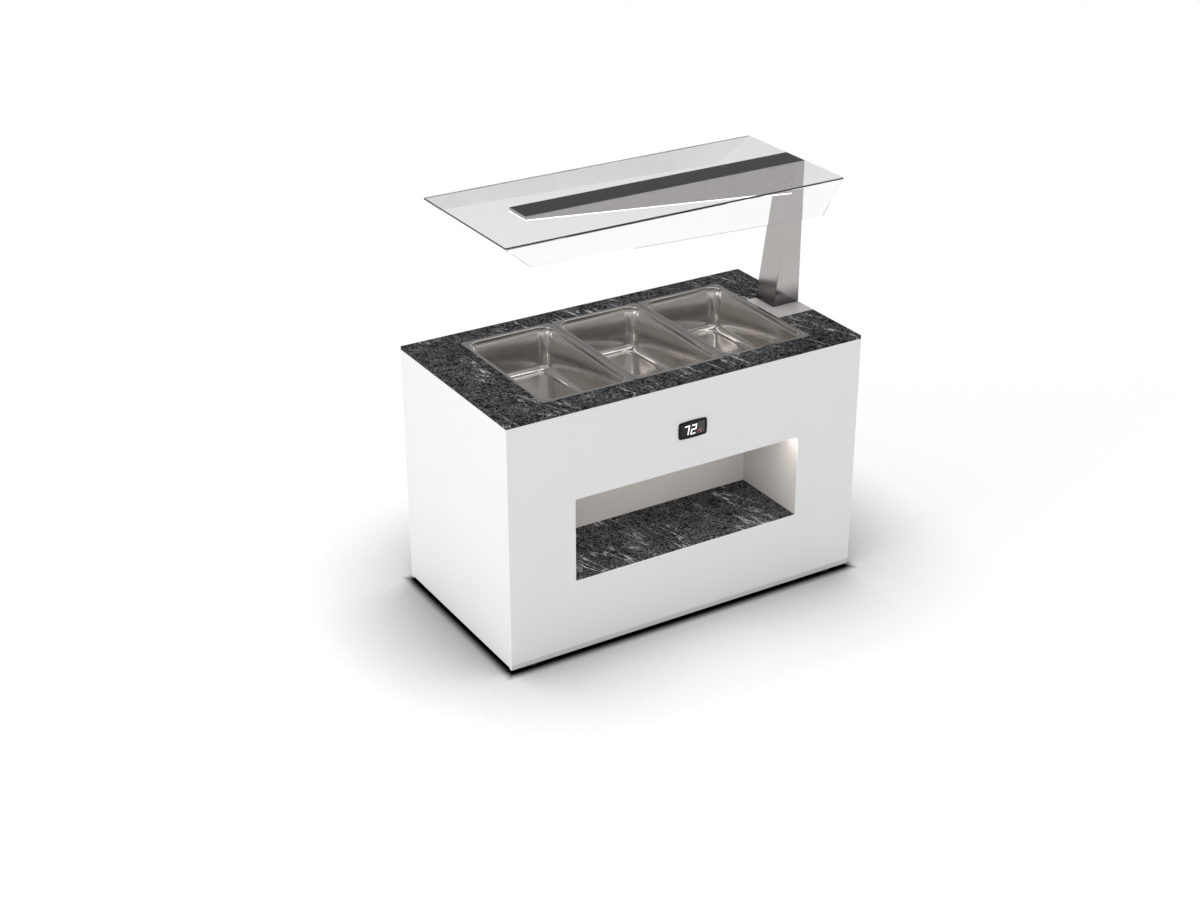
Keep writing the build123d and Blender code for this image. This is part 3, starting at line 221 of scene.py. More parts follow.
finishes["white_coat"] = white_coat()
# Prints the share of painted shade on faces that look down.
print("white coat, scuffed by", PAINTED_SHADE_SHARE, "on the low folds")

# %% [markdown]
# ## The dark stone
# The top and the niche's floor are one granite: near black, mottled all over with grey curls about a
# centimetre wide, with paler spots and thin white veins that mostly run from front to back. A
# noise with a smooth step over its middle values gives mottling. A curl is the narrow band
# where a twisted noise passes its middle value, so one subtraction and one step draw thousands of
# them. The veins are made alike from a noise that is stretched along their run, and a second noise
# lets them show only here and there.

# %% Dark stone
STONE_DARK = (0.002, 0.002, 0.0025)
STONE_PALE = (0.97, 0.97, 1.0)
MOTTLE_SHARE = 0.03
SPECK_SHARE = 0.18
CURL_SHARE = 0.14
SPOT_SHARE = 0.1
VEIN_SHARE = 0.45
VEIN_TURN = radians(-74)
VEIN_SQUEEZE = (3, 17, 17)
NOISE_MIDDLE = 0.5


def dark_stone():
    finish = Finish("dark_stone")
    place = finish.place()
    mottle = finish.noise(place, 64, detail=5, roughness=0.7, curl=0.5).rise(0.44, 0.68)
    specks = finish.noise(place, 170, roughness=0.75).rise(0.52, 0.72)
    twist = finish.noise(place, 58, detail=4, roughness=0.62, curl=1.5)
    curls = abs(twist - NOISE_MIDDLE).rise(0.05, 0.0)
    spots = finish.noise(place, 21, detail=4, roughness=0.6, curl=0.9).rise(0.62, 0.76)
    clouds = finish.noise(place, 9)
    run = finish.turned(place, VEIN_SQUEEZE, (0, 0, VEIN_TURN))
    drift = finish.noise(run, 1, detail=6, roughness=0.6)
    vein = abs(drift - NOISE_MIDDLE).rise(0.015, 0.0) * finish.noise(place, 6, detail=2).rise(0.46, 0.6)
    fleck = mottle * MOTTLE_SHARE + specks * SPECK_SHARE + curls * CURL_SHARE
    tone = fleck * (0.2 + 1.4 * clouds) + spots * SPOT_SHARE
    return finish.done(finish.shader({
        "Base Color": finish.mix(tone + vein * VEIN_SHARE, STONE_DARK, STONE_PALE),
        "Roughness": 0.34 + 0.14 * specks,
        "Specular IOR Level": 0.0,
        "Normal": finish.bump(specks, 0.03, 0.0003),
    }))


finishes["dark_stone"] = dark_stone()
print("dark stone, veins turned", round(VEIN_TURN, 2), "rad")

# %% [markdown]
# ## Steel
# Post, arm and tank are brushed stainless steel. Grinding leaves fine lines along one direction, so
# a noise is squeezed across the lines and drawn out along them. The lines move the roughness and
# the shade, and a slow cloud stops broad faces from looking printed. A line cut as real bump would
# break up every reflection at this distance, so the bump stays next to nothing. Close to its base
# plate the post darkens in a painted reflection of the dark stone, as ground steel mirrors what it
# stands on. A true reflection of the plate would need the whole room around it, so this painted
# shade simply falls over the last centimetres.

# %% Brushed steel
LINE_SCALE = 1500.0
LINE_STRETCH = 14.0
PAINTED_REFLECTION_REACH = 0.085
PAINTED_REFLECTION_SHADE = 0.2


def scaled(shade, factor):
    return [channel * factor for channel in shade]


def brushed_steel(name, along, shade, roughness, metallic=1.0, foot=None):
    """Steel ground along an axis. A painted dark reflection dims it towards the height foot, if one is
    given.
    """
    finish = Finish(name)
    place = finish.place()
    squeeze = [LINE_STRETCH if axis == along else LINE_SCALE for axis in "XYZ"]
    lines = finish.noise(finish.turned(place, squeeze), 1, detail=2)
    cloud = finish.noise(place, 9)
    colour = finish.mix(lines * 0.6 + cloud * 0.4, scaled(shade, 0.9), scaled(shade, 1.1))
    if foot is not None:
        # Painted reflection of the dark stone: towards the foot the colour falls to a darker shade.
        dim = (finish.axis(place, "Z") - foot).rise(PAINTED_REFLECTION_REACH, 0.0)
        colour = finish.mix(dim, colour, scaled(shade, PAINTED_REFLECTION_SHADE))
    return finish.done(finish.shader({
        "Base Color": colour,
        "Metallic": metallic,
        "Roughness": roughness * (0.7 + 0.4 * lines + 0.2 * cloud),
        "Normal": finish.bump(lines, 0.004, 0.0002),
    }))


print("lines", round(LINE_SCALE / LINE_STRETCH), "times as long as wide")

# %% [markdown]
# Five steels come from that one recipe. The post is ground upwards and the others lengthwise. The base
# plate is paler than the rest and mirrors less, as blasted steel does: part of its colour is plain
# and not a reflection.

# %% The five steels
STEEL_SHADE = (0.43, 0.412, 0.4)
TANK_SHADE = (0.55, 0.55, 0.54)
POLISHED_SHADE = (0.55, 0.55, 0.545)
PLATE_SHADE = (0.78, 0.75, 0.73)
plate_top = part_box("post_base_plate")[1].z

finishes["tank_steel"] = brushed_steel("tank_steel", "X", TANK_SHADE, 0.34)
finishes["canopy_steel"] = brushed_steel("canopy_steel", "X", scaled(STEEL_SHADE, 0.98), 0.28)
finishes["polished_steel"] = brushed_steel("polished_steel", "X", POLISHED_SHADE, 0.08)
# The post gets a painted dark reflection towards its base plate.
post_finish = brushed_steel("post_steel", "Z", STEEL_SHADE, 0.15, foot=plate_top)
plate_finish = brushed_steel("plate_steel", "X", PLATE_SHADE, 0.2, metallic=0.42)
print("five brushed steels, the post's dim below", round(plate_top + PAINTED_REFLECTION_REACH, 3), "m")

# %% [markdown]
# The food pans are drawn from bright rolled sheet. Drawing stretches the sheet, which leaves it a
# little cloudy. That shows only in the gloss: a slow noise moves the roughness, and the reflections
# of one wall in the next stay whole.

# %% Drawn steel
PAN_SHADE = (0.68, 0.655, 0.632)


def drawn_steel():
    finish = Finish("drawn_steel")
    place = finish.place()
    cloud = finish.noise(place, 16)
    return finish.done(finish.shader({
        "Base Color": finish.mix(cloud, scaled(PAN_SHADE, 0.95), scaled(PAN_SHADE, 1.05)),
        "Metallic": 1.0,
        "Roughness": 0.11 + 0.07 * cloud,
    }))


finishes["pan_steel"] = drawn_steel()
print("drawn steel of the shade", PAN_SHADE)

# %% [markdown]
# ## The panes
# The canopy's three panes are clear glass, the rear one a little greyer. Real glass costs a path
# tracer a lot: light that reaches the stone through a pane arrives as noise. The shader therefore
# lets all rays but the eye's own through a plain Transparent shader and keeps true glass for what
# the eye sees. A ray that was bent by glass counts as glossy too, so such rays are taken out again.
# Cut edges are ground dull and have a painted shade of their own, set for each pane by how the light
# falls on it: they are wherever the surface turns far away from the pane's own direction. From inside
# the pane they only dim the light a little.

# %% Glass
GLASS_IOR = 1.45
EDGE_TURN = (0.6, 0.4)


def pane_glass(name, tint, facing, edge_shade):
    finish = Finish(name)
    sides = {0: finish.place("Normal"), 1: facing}
    along = finish.node("ShaderNodeVectorMath", {"operation": "DOT_PRODUCT"}, sides, "Value")
    inside = finish.node("ShaderNodeNewGeometry", {}, {}, "Backfacing")
    smear = finish.noise(finish.place(), 9, detail=4)
    glass = finish.shader({
        "Base Color": (*tint, 1),
        "Roughness": 0.012 * smear.rise(0.5, 0.8),
        "IOR": GLASS_IOR,
        "Transmission Weight": 1.0,
    })
    ground = finish.shader({
        "Base Color": finish.mix(smear, edge_shade, edge_shade * 1.4),
        "Roughness": 0.4,
        "Specular IOR Level": 0.1,
    })
    clear = finish.node("ShaderNodeBsdfTransparent", {}, {"Color": (*tint, 1)})
    cut = finish.blend(inside, ground, clear)
    pane = finish.blend(abs(along).rise(*EDGE_TURN), glass, cut)
    mirrored = finish.ray("Glossy") - finish.ray("Transmission")
    unseen = finish.ray("Shadow").larger(finish.ray("Diffuse")).larger(mirrored)
    return finish.done(finish.blend(unseen, pane, clear))


print("a cut edge is where the dot product with the pane's direction is below", EDGE_TURN[0])

# %% [markdown]
# The slanted panes stand steeper than the roof, and each faces its own side of the counter. The roof
# and the slanted panes catch the light differently on their cut edges, so each edge shade is painted
# light and shade: pale on the front pane, darker on the rear one, near black on the roof.

# %% The three panes
FRONT_TINT = (0.985, 0.99, 0.99)
REAR_TINT = (0.93, 0.94, 0.94)
TOP_TINT = (0.985, 0.985, 0.985)
# Painted light and shade on the cut edges of each pane.
FRONT_EDGE = 0.45
REAR_EDGE = 0.12
TOP_EDGE = 0.012
PANE_LEAN = radians(65)

front_facing = (0, -sin(PANE_LEAN), cos(PANE_LEAN))
rear_facing = (0, sin(PANE_LEAN), cos(PANE_LEAN))
front_pane_finish = pane_glass("front_glass", FRONT_TINT, front_facing, FRONT_EDGE)
rear_pane_finish = pane_glass("rear_glass", REAR_TINT, rear_facing, REAR_EDGE)
finishes["canopy_glass"] = pane_glass("top_glass", TOP_TINT, (0, 0, 1), TOP_EDGE)
print("three panes")

# %% [markdown]
# ## Plastics and paints
# The smaller parts share one recipe: an even colour, a grain of a certain size that shows as bump
# and in the gloss, and a slow variation of the shade. What differs is the numbers, so each finish
# is one row of a table that names them.

# %% Grained finishes
def grained(name, shade, roughness, grain, depth, metallic=0.0, spread=0.12):
    finish = Finish(name)
    place = finish.place()
    grains = finish.noise(place, grain, roughness=0.6)
    cloud = finish.noise(place, 12)
    darker = scaled(shade, 1 - spread)
    paler = scaled(shade, 1 + spread)
    return finish.done(finish.shader({
        "Base Color": finish.mix(grains * 0.5 + cloud * 0.5, darker, paler),
        "Metallic": metallic,
        "Roughness": roughness * (0.8 + 0.25 * grains + 0.15 * cloud),
        "Normal": finish.bump(grains, depth, 0.0004),
    }))


GRAINED = {
    "bond_black": dict(shade=(0.012, 0.012, 0.013), roughness=0.5, grain=900, depth=0.05),
    "niche_coat": dict(shade=(0.6, 0.572, 0.548), roughness=0.38, grain=600, depth=0.05, spread=0.03),
    "light_aluminium": dict(shade=(0.74, 0.74, 0.75), roughness=0.36, grain=1400, depth=0.05, metallic=1.0),
    "frame_black": dict(shade=(0.022, 0.022, 0.023), roughness=0.45, grain=700, depth=0.12),
    "foot_black": dict(shade=(0.018, 0.018, 0.018), roughness=0.6, grain=1100, depth=0.15),
    "black_plastic": dict(shade=(0.014, 0.014, 0.0145), roughness=0.42, grain=2200, depth=0.12),
    "control_grey": dict(shade=(0.48, 0.49, 0.49), roughness=0.5, grain=1500, depth=0.12, spread=0.04),
    "valve_brass": dict(shade=(0.72, 0.56, 0.32), roughness=0.3, grain=800, depth=0.06, metallic=1.0),
    "lever_red": dict(shade=(0.42, 0.02, 0.016), roughness=0.4, grain=900, depth=0.12),
    "lead_grey": dict(shade=(0.13, 0.13, 0.135), roughness=0.5, grain=1200, depth=0.08),
    "insulation_mat": dict(shade=(0.52, 0.52, 0.5), roughness=0.95, grain=260, depth=0.7, spread=0.25),
}
for name, look in GRAINED.items():
    finishes[name] = grained(name, **look)
print(len(finishes), "finishes so far")

# %% [markdown]
# ## Zinc
# Galvanised sheet is zinc that froze in flat crystals. A Voronoi texture gives every crystal its
# own random shade, which moves the gloss more than the colour.

# %% Zinc steel
def zinc_steel():
    finish = Finish("zinc_steel")
    place = finish.place()
    crystal = finish.node("ShaderNodeTexVoronoi", {}, {"Vector": place, "Scale": 85}, "Color")
    shade = finish.axis(crystal, "X")
    return finish.done(finish.shader({
        "Base Color": finish.mix(shade, (0.5, 0.51, 0.53), (0.68, 0.69, 0.71)),
        "Metallic": 1.0,
        "Roughness": 0.3 + 0.18 * shade,
    }))


finishes["zinc_steel"] = zinc_steel()
print("zinc steel")

# %% [markdown]
# ## Lit covers
# Strips of small lamps shine through opal covers under the arm and in the niche. The lamps could be
# lights of their own, but the cover is what the eye sees, so the cover itself glows. A faint noise
# keeps the glow from looking painted on. The niche is lit only by its strip, which is much stronger.

# %% Opal covers
WHITE = (1.0, 1.0, 1.0)
NICHE_WHITE = (1.0, 0.97, 0.94)
ARM_GLOW = 1.8
NICHE_GLOW = 30.0


def lit(name, shade, strength):
    finish = Finish(name)
    glow = finish.noise(finish.place(), 30, detail=2)
    light = finish.mix(glow, scaled(shade, 0.96), shade)
    return finish.done(finish.shader({
        "Base Color": light,
        "Roughness": 0.4 + 0.1 * glow,
        "Emission Color": light,
        "Emission Strength": strength,
    }))


finishes["opal"] = lit("arm_light", WHITE, ARM_GLOW)
niche_light_finish = lit("niche_light", NICHE_WHITE, NICHE_GLOW)
print("two opal covers")

# %% [markdown]
# ## The display's window and bezel
# The window is dark tinted plastic that looks greyer towards its right-hand end, where it catches the
# room. That is a painted reflection: a ramp along the window's own width lightens its colour, without
# a lamp placed just for it. The bezel round it is a glossier black.

# %% Window and bezel
def display_tint():
    finish = Finish("display_tint")
    place = finish.place()
    low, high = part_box("thermostat_window")
    # Painted reflection: the colour gets paler towards the window's right-hand end.
    across = finish.axis(place, "X").rise(low.x, high.x)
    haze = finish.noise(place, 300)
    return finish.done(finish.shader({
        "Base Color": finish.mix(across * 0.8 + haze * 0.2, 0.008, 0.075),
        "Roughness": 0.22 + 0.1 * haze,
        "Specular IOR Level": 0.2,
    }))


def gloss_black():
    finish = Finish("bezel_black")
    wear = finish.noise(finish.place(), 160)
    return finish.done(finish.shader({
        "Base Color": finish.mix(wear, 0.006, 0.009),
        "Roughness": 0.2 + 0.12 * wear,
        "Specular IOR Level": 0.12,
    }))


finishes["display_tint"] = display_tint()
bezel_finish = gloss_black()
missing = sorted({*slot_of.values()} - {*finishes})
print(len(finishes), "finishes, slots without one:", missing)

# %% [markdown]
# ## Dress the imported nodes
# Each node names its material slot in the record, so one loop gives every solid its finish. A few
# nodes differ from their slot's usual look: the post is ground along its height and has a painted
# dark reflection at its foot, its base plate is paler, each slanted pane knows its own direction,
# the display's bezel is a glossier black, and the niche's strip light is the brighter one.

# %% Finish every node
special = {
    "canopy_post": post_finish,
    "post_base_plate": plate_finish,
    "thermostat_bezel": bezel_finish,
    "canopy_front_glass": front_pane_finish,
    "canopy_rear_glass": rear_pane_finish,
    "niche_light_diffuser": niche_light_finish,
}


def finish_of(node):
    return special.get(node, finishes[slot_of[node]])


for name, solid in nodes.items():
    solid.data.materials.clear()
    solid.data.materials.append(finish_of(name))
print("dressed", len(nodes), "nodes,", len(special), "of them specially")

# %% [markdown]
# ## From bmesh to a riding piece
# A new piece is shaped in a bmesh and then becomes an object that stays at the origin, with its
# place in its mesh. It rides on one of the counter's bodies, so that it moves when a joint moves.
# Edges that turn by more than a set angle stay crisp, and everything else is shaded smooth.

# %% Turn a bmesh into a piece
CRISP = radians(32)


def in_scene(name, data):
    made = bpy.data.objects.new(name, data)
    bpy.context.scene.collection.objects.link(made)
    return made


def piece(name, bm, finish, body, crisp=CRISP):
    for face in bm.faces:
        face.smooth = True
    for edge in bm.edges:
        edge.smooth = edge.calc_face_angle(0.0) < crisp
    mesh = bpy.data.meshes.new(name)
    bm.to_mesh(mesh)
    bm.free()
    mesh.materials.append(finish)
    made = in_scene(name, mesh)
    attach(made, body)
    return made


# %% [markdown]
# ## The food pans
# A food pan is drawn from one sheet: a flat flange, a tight lip, a short upright shoulder, a small
# step for stacking, a tapered wall and a wide rounding into the bottom. Seen from above that is a
# row of rounded rectangles, one inside the other, so the pan's profile is kept as a list of steps,
# each so far inward and so far down. The round stretches are arcs that are cut into equal angles.

# %% The pan's profile
PAN_SHEET = 0.0012
LIP = 0.0032
LIP_STEPS = 6
SHOULDER = 0.015
SHOULDER_DRAFT = 0.0002
STACK_STEP = 0.003
STACK_FALL = 0.0035
STACK_CURVE = ((0.15, 0.3), (0.35, 0.2), (0.35, 0.2), (0.15, 0.3))
TAPER = radians(4)
FOOT = 0.026
FOOT_STEPS = 10
FLOOR_RING = 0.004
CROWN = 0.0012
CROWN_RUN = 0.0015


def arc_steps(radius, start, end, count):
    """Steps inward and downward along an arc between two slopes: 0 is level, a right angle is upright."""
    angles = [start + (end - start) * i / count for i in range(count + 1)]
    for a, b in zip(angles, angles[1:]):
        yield abs(radius * (sin(b) - sin(a))), abs(radius * (cos(a) - cos(b)))


def pan_steps(depth):
    """Every step of the pan's wall from the flange's inner line to its floor."""
    steps = list(arc_steps(LIP, 0.0, pi / 2, LIP_STEPS))
    steps.append((SHOULDER_DRAFT, SHOULDER - LIP))
    for share_in, share_down in STACK_CURVE:
        steps.append((STACK_STEP * share_in, STACK_FALL * share_down))
    foot = list(arc_steps(FOOT, pi / 2 - TAPER, 0.0, FOOT_STEPS))
    wall = depth - sum(down for _, down in steps) - sum(down for _, down in foot)
    return [*steps, (wall * tan(TAPER), wall), *foot, (FLOOR_RING, 0.0), (CROWN_RUN, -CROWN)]


low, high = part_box("left_pan")
profile = pan_steps(high.z - low.z - PAN_SHEET)
reach = sum(inward for inward, _ in profile)
print(len(profile), "steps from flange to floor,", round(1000 * reach, 1), "mm inward")

# %% [markdown]
# The pan itself starts as two flat plates with rounded corners: the flange's outline, and the mouth
# with its much wider corners. A bridge between the two is the flange. The mouth's face is then inset
# once for each step of the profile while it sinks, which keeps the corners round on the way down,
# and the finished skin gets the thickness of its sheet.

# %% Draw the pans
RIM_WIDTH = 0.0115
RIM_CORNER = 0.007
WALL_CORNER = 0.044


def rounded_plate(bm, width, length, radius, centre, segments=8):
    """A flat face with rounded corners, and its outline."""
    flat = bmesh.ops.create_grid(bm, x_segments=1, y_segments=1, size=0.5)["verts"]
    bmesh.ops.scale(bm, vec=(width, length, 1), verts=flat)
    bmesh.ops.translate(bm, vec=centre, verts=flat)
    result = bmesh.ops.bevel(bm, geom=flat, offset=radius, affect="VERTICES", segments=segments,
                             profile=0.5, material=-1)
    face = result["verts"][0].link_faces[0]
    return face, face.edges[:]


def food_pan(node):
    low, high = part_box(node)
    middle = (low + high) / 2
    rim = Vector((middle.x, middle.y, high.z))
    width, length, height = high - low
    border = 2 * (RIM_WIDTH + PAN_SHEET - LIP)
    bm = bmesh.new()
    flange, outline = rounded_plate(bm, width, length, RIM_CORNER, rim)
    well, mouth = rounded_plate(bm, width - border, length - border, WALL_CORNER + LIP, rim)
    bmesh.ops.delete(bm, geom=[flange], context="FACES_ONLY")
    bmesh.ops.bridge_loops(bm, edges=outline + mouth)
    for inward, downward in pan_steps(height - PAN_SHEET):
        bmesh.ops.inset_region(bm, faces=[well], thickness=inward, depth=-downward, use_even_offset=True)
    bmesh.ops.recalc_face_normals(bm, faces=bm.faces)
    if well.normal.z < 0:
        bmesh.ops.reverse_faces(bm, faces=bm.faces)
    bmesh.ops.solidify(bm, geom=bm.faces[:], thickness=PAN_SHEET)
    made = piece(f"drawn_{node}", bm, finishes["pan_steel"], body_of[node])
    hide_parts(node)
    return made


for node in ("left_pan", "middle_pan", "right_pan"):
    pan = food_pan(node)
    lowest = min(vert.co.z for vert in pan.data.vertices)
    highest = max(vert.co.z for vert in pan.data.vertices)
    print(pan.name, len(pan.data.polygons), "faces, z", round(lowest, 4), "to", round(highest, 4))

# %% [markdown]
# ## Edges that catch the light
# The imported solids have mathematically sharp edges, and no real edge is. A folded sheet has a bend,
# stone has a ground arris, glass has a chamfer that takes its sharpness off. A copy of the node gets
# a small bevel on every edge that turns sharply, and stands in for the node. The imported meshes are
# loose triangles, so a copy is merged first, and its flat triangles are dissolved into whole faces.

# %% Ease the edges of a node
MERGE = 1e-6
FLAT = radians(0.6)
FACET = radians(12)
BEND = 0.0006


def eased(node, radius=BEND, segments=2, shortest=0.0, crisp=FACET):
    """Stand in for a node with a copy whose edges are eased. Returns how many edges that were."""
    bm = bmesh.new()
    bm.from_mesh(nodes[node].data)
    bmesh.ops.remove_doubles(bm, verts=bm.verts, dist=MERGE)
    bmesh.ops.dissolve_limit(bm, angle_limit=FLAT, verts=bm.verts, edges=bm.edges)
    sharp = [edge for edge in bm.edges
             if edge.is_manifold and edge.calc_face_angle() > CRISP and edge.calc_length() > shortest]
    bmesh.ops.bevel(bm, geom=sharp, offset=radius, affect="EDGES", segments=segments, profile=0.5,
                    material=-1, clamp_overlap=True)
    made = piece(f"eased_{node}", bm, finish_of(node), body_of[node], crisp)
    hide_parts(node)
    return len(sharp)


print("a bend is", 1000 * BEND, "mm wide")

# %% [markdown]
# Plain sheets take the bend on all their sharp edges. The front panel also has a slight fold near the
# floor, so it is shaded crisper, or the fold would look like a soft swelling.

# %% Ease the sheets
FOLD = radians(4)
SHEETS = (
    "left_side_panel", "right_side_panel", "left_door", "right_door",
    "niche_side_walls", "niche_back_wall", "niche_ceiling", "canopy_arm",
    "control_box", "control_box_cover", "switch_plate", "thermostat_bezel",
    "arm_light_diffuser", "niche_light_diffuser",
    "hinge_frame_leaves", "left_door_hinge_leaves", "right_door_hinge_leaves",
)

count = eased("front_panel", crisp=FOLD) + sum(eased(node) for node in SHEETS)
print("eased", count, "edges on", len(SHEETS) + 1, "nodes")

# %% [markdown]
# On nodes with small holes only the long edges are eased, which keeps the bevel out of the holes. The
# rear panel has the same low fold as the front. The post is bent from thicker sheet and has a rounder
# bend, the stone has a ground arris in three steps, and the panes have one flat chamfer.

# %% Ease holed nodes, stone and glass
LONG_EDGE = 0.01
ARRIS = 0.001
POST_BEND = 0.0015

print("rear_panel", eased("rear_panel", shortest=LONG_EDGE, crisp=FOLD), "edges")
print("canopy_post", eased("canopy_post", POST_BEND, segments=3, shortest=LONG_EDGE), "edges")
print("post_base_plate", eased("post_base_plate", shortest=LONG_EDGE), "edges")
for node in ("worktop", "niche_shelf"):
    print(node, eased(node, ARRIS, segments=3, shortest=LONG_EDGE), "edges")
for node in ("canopy_top_glass", "canopy_front_glass", "canopy_rear_glass"):
    print(node, eased(node, ARRIS, segments=1), "edges")

# %% [markdown]
# ## The display's figures
# A seven-segment figure is made of bars with cut corners. Each bar is one flat cell, stretched and
# bevelled at its corners, and a figure is a list of the bars that are lit. A table says where each
# bar's middle lies, in half widths and half heights of the figure, and whether the bar is upright.

# %% Bars of a figure
STROKE = 0.0037
FIGURE_WIDTH = 0.0152
FIGURE_HEIGHT = 0.0283
BAR_GAP = 0.0003
BAR_CORNER = 0.45 * STROKE
BARS = {
    "top": (0, 1, False), "middle": (0, 0, False), "bottom": (0, -1, False),
    "upper_left": (-1, 0.5, True), "upper_right": (1, 0.5, True),
    "lower_left": (-1, -0.5, True), "lower_right": (1, -0.5, True),
}
LIT_BARS = {
    "7": ("top", "upper_right", "lower_right"),
    "2": ("top", "upper_right", "middle", "lower_left", "bottom"),
}


def draw_figure(bm, figure, middle):
    for name in LIT_BARS[figure]:
        across, up, upright = BARS[name]
        size = (STROKE, FIGURE_HEIGHT / 2 + STROKE) if upright else (FIGURE_WIDTH + STROKE, STROKE)
        width, length = [side - 2 * BAR_GAP for side in size]
        centre = (middle + across * FIGURE_WIDTH / 2, up * FIGURE_HEIGHT / 2, 0)
        rounded_plate(bm, width, length, BAR_CORNER, centre, segments=1)


print("figures of", ", ".join(f"{len(bars)} bars" for bars in LIT_BARS.values()))

# %% [markdown]
# The figures lean, so one matrix shears the whole row, stands it up and sets it on the window's face.
# Print has hardly any thickness, but a face with none would flicker against the window, so it
# becomes a plate as thin as ink.

# %% Set the figures on the window
FIGURES = "72"
FIGURE_PITCH = 0.0262
FIRST_FIGURE = -0.0198
FIGURE_MIDDLE = 0.679
FIGURE_GLOW = 1.0
LEAN = tan(radians(10))
PRINT_RISE = 0.00015


def on_window(bm, finish, name):
    """Make flat outlines thin plates on the window's face, leaning like the figures."""
    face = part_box("thermostat_window")[0].y - PRINT_RISE
    bmesh.ops.solidify(bm, geom=bm.faces[:], thickness=PRINT_RISE)
    stand = Matrix(((1, LEAN, 0, 0), (0, 0, -1, face), (0, 1, 0, FIGURE_MIDDLE), (0, 0, 0, 1)))
    bmesh.ops.transform(bm, matrix=stand, verts=bm.verts)
    bmesh.ops.recalc_face_normals(bm, faces=bm.faces)
    return piece(name, bm, finish, body_of["thermostat_window"])


bm = bmesh.new()
for step, figure in enumerate(FIGURES):
    draw_figure(bm, figure, FIRST_FIGURE + step * FIGURE_PITCH)
figures = on_window(bm, lit("figure_light", WHITE, FIGURE_GLOW), "display_figures")
print(figures.name, len(figures.data.polygons), "faces")

# %% [markdown]
# A small red arrow and three dim dots beside the figures show the heater's state. A circle of three
# sides is a triangle, so the arrow and the dots come from the same operator. The triangle is turned
# until its first corner points to the left.

# %% Draw the arrow and the dots
ARROW_PLACE = (0.0321, -0.008, 0)
ARROW_RADIUS = 0.0095
ARROW_RED = (0.19, 0.045, 0.06)
ARROW_GLOW = 0.6
DOT_SIDES = 20
DOT_GLOW = 0.5
DOTS = {
    "green_dot": ((0.0255, -0.0136), (0.02, 0.075, 0.035)),
    "teal_dot": ((0.0235, 0.0075), (0.015, 0.06, 0.055)),
    "red_dot": ((0.0275, 0.0135), (0.075, 0.02, 0.03)),
}

bm = bmesh.new()
arrow = bmesh.ops.create_circle(bm, cap_ends=True, segments=3, radius=ARROW_RADIUS)["verts"]
corner = atan2(arrow[0].co.y, arrow[0].co.x)
bmesh.ops.rotate(bm, cent=(0, 0, 0), matrix=Matrix.Rotation(pi - corner, 3, "Z"), verts=arrow)
bmesh.ops.translate(bm, vec=ARROW_PLACE, verts=arrow)
red = lit("arrow_red", ARROW_RED, ARROW_GLOW)
print(on_window(bm, red, "heating_arrow").name)
for name, (spot, shade) in DOTS.items():
    bm = bmesh.new()
    bmesh.ops.create_circle(bm, cap_ends=True, segments=DOT_SIDES, radius=STROKE / 2)
    bmesh.ops.translate(bm, vec=(*spot, 0), verts=bm.verts)
    print(on_window(bm, lit(name, shade, DOT_GLOW), name).name)

# %% [markdown]
# ## Marks on the switches
# Each rocker carries a bar on the half that switches on and a ring on the half that switches off.
# The marks are drawn flat and then dropped onto the rocker: a ray from every vertex finds the
# rocker's face, which is tilted differently on each half.

# %% Print the marks
MARK_SIZE = 0.0056
MARK_STROKE = 0.0009
MARK_CORNER = MARK_STROKE / 3
RING_SIDES = 32
mark_white = grained("mark_white", (0.72, 0.72, 0.71), 0.5, grain=1500, depth=0.05, spread=0.04)


def drop_on(node, bm):
    """Move every vertex forwards onto the node's surface, and raise it by the print's thickness."""
    shell = bmesh.new()
    shell.from_mesh(nodes[node].data)
    surface = BVHTree.FromBMesh(shell)
    for vert in bm.verts:
        vert.co = surface.ray_cast(vert.co, Vector((0, -1, 0)))[0] + Vector((0, PRINT_RISE, 0))
    shell.free()


def switch_marks(node):
    low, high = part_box(node)
    middle = (low + high) / 2
    quarter = (high.z - low.z) / 4
    bm = bmesh.new()
    rounded_plate(bm, MARK_STROKE, MARK_SIZE, MARK_CORNER, (0, quarter, 0), segments=3)
    ring = bmesh.ops.create_circle(bm, cap_ends=True, segments=RING_SIDES, radius=MARK_SIZE / 2)["verts"]
    disc = ring[0].link_faces[0]
    bmesh.ops.translate(bm, vec=(0, -quarter, 0), verts=ring)
    bmesh.ops.inset_region(bm, faces=[disc], thickness=MARK_STROKE)
    bmesh.ops.delete(bm, geom=[disc], context="FACES")
    behind = Matrix.Translation((middle.x, high.y + quarter, middle.z))
    bmesh.ops.transform(bm, matrix=behind @ Matrix.Rotation(pi / 2, 4, "X"), verts=bm.verts)
    bmesh.ops.reverse_faces(bm, faces=bm.faces)
    drop_on(node, bm)
    bmesh.ops.solidify(bm, geom=bm.faces[:], thickness=2 * PRINT_RISE)
    bmesh.ops.recalc_face_normals(bm, faces=bm.faces)
    return piece(f"{node}_marks", bm, mark_white, body_of[node])


for node in ("main_switch_rocker", "light_switch_rocker"):
    print(switch_marks(node).name)

# %% [markdown]
# ## Screws
# Low domed screws with a six-lobed socket hold the hinges, the switch plate and the control box's
# cover. A head starts as a disc. Insets that rise make the dome, the innermost outline is waved into
# six lobes, and one more inset sinks it. All lengths of a head are shares of its radius.

# %% Turn a screw head
SCREW_SIDES = 24
SCREW_EDGE = 0.14
SCREW_DOME = ((0.1, 0.14), (0.16, 0.1), (0.2, 0.04))
LOBES = 6
LOBE_DEPTH = 0.15
SOCKET_DEPTH = 0.36
SOCKET_TAPER = 0.02


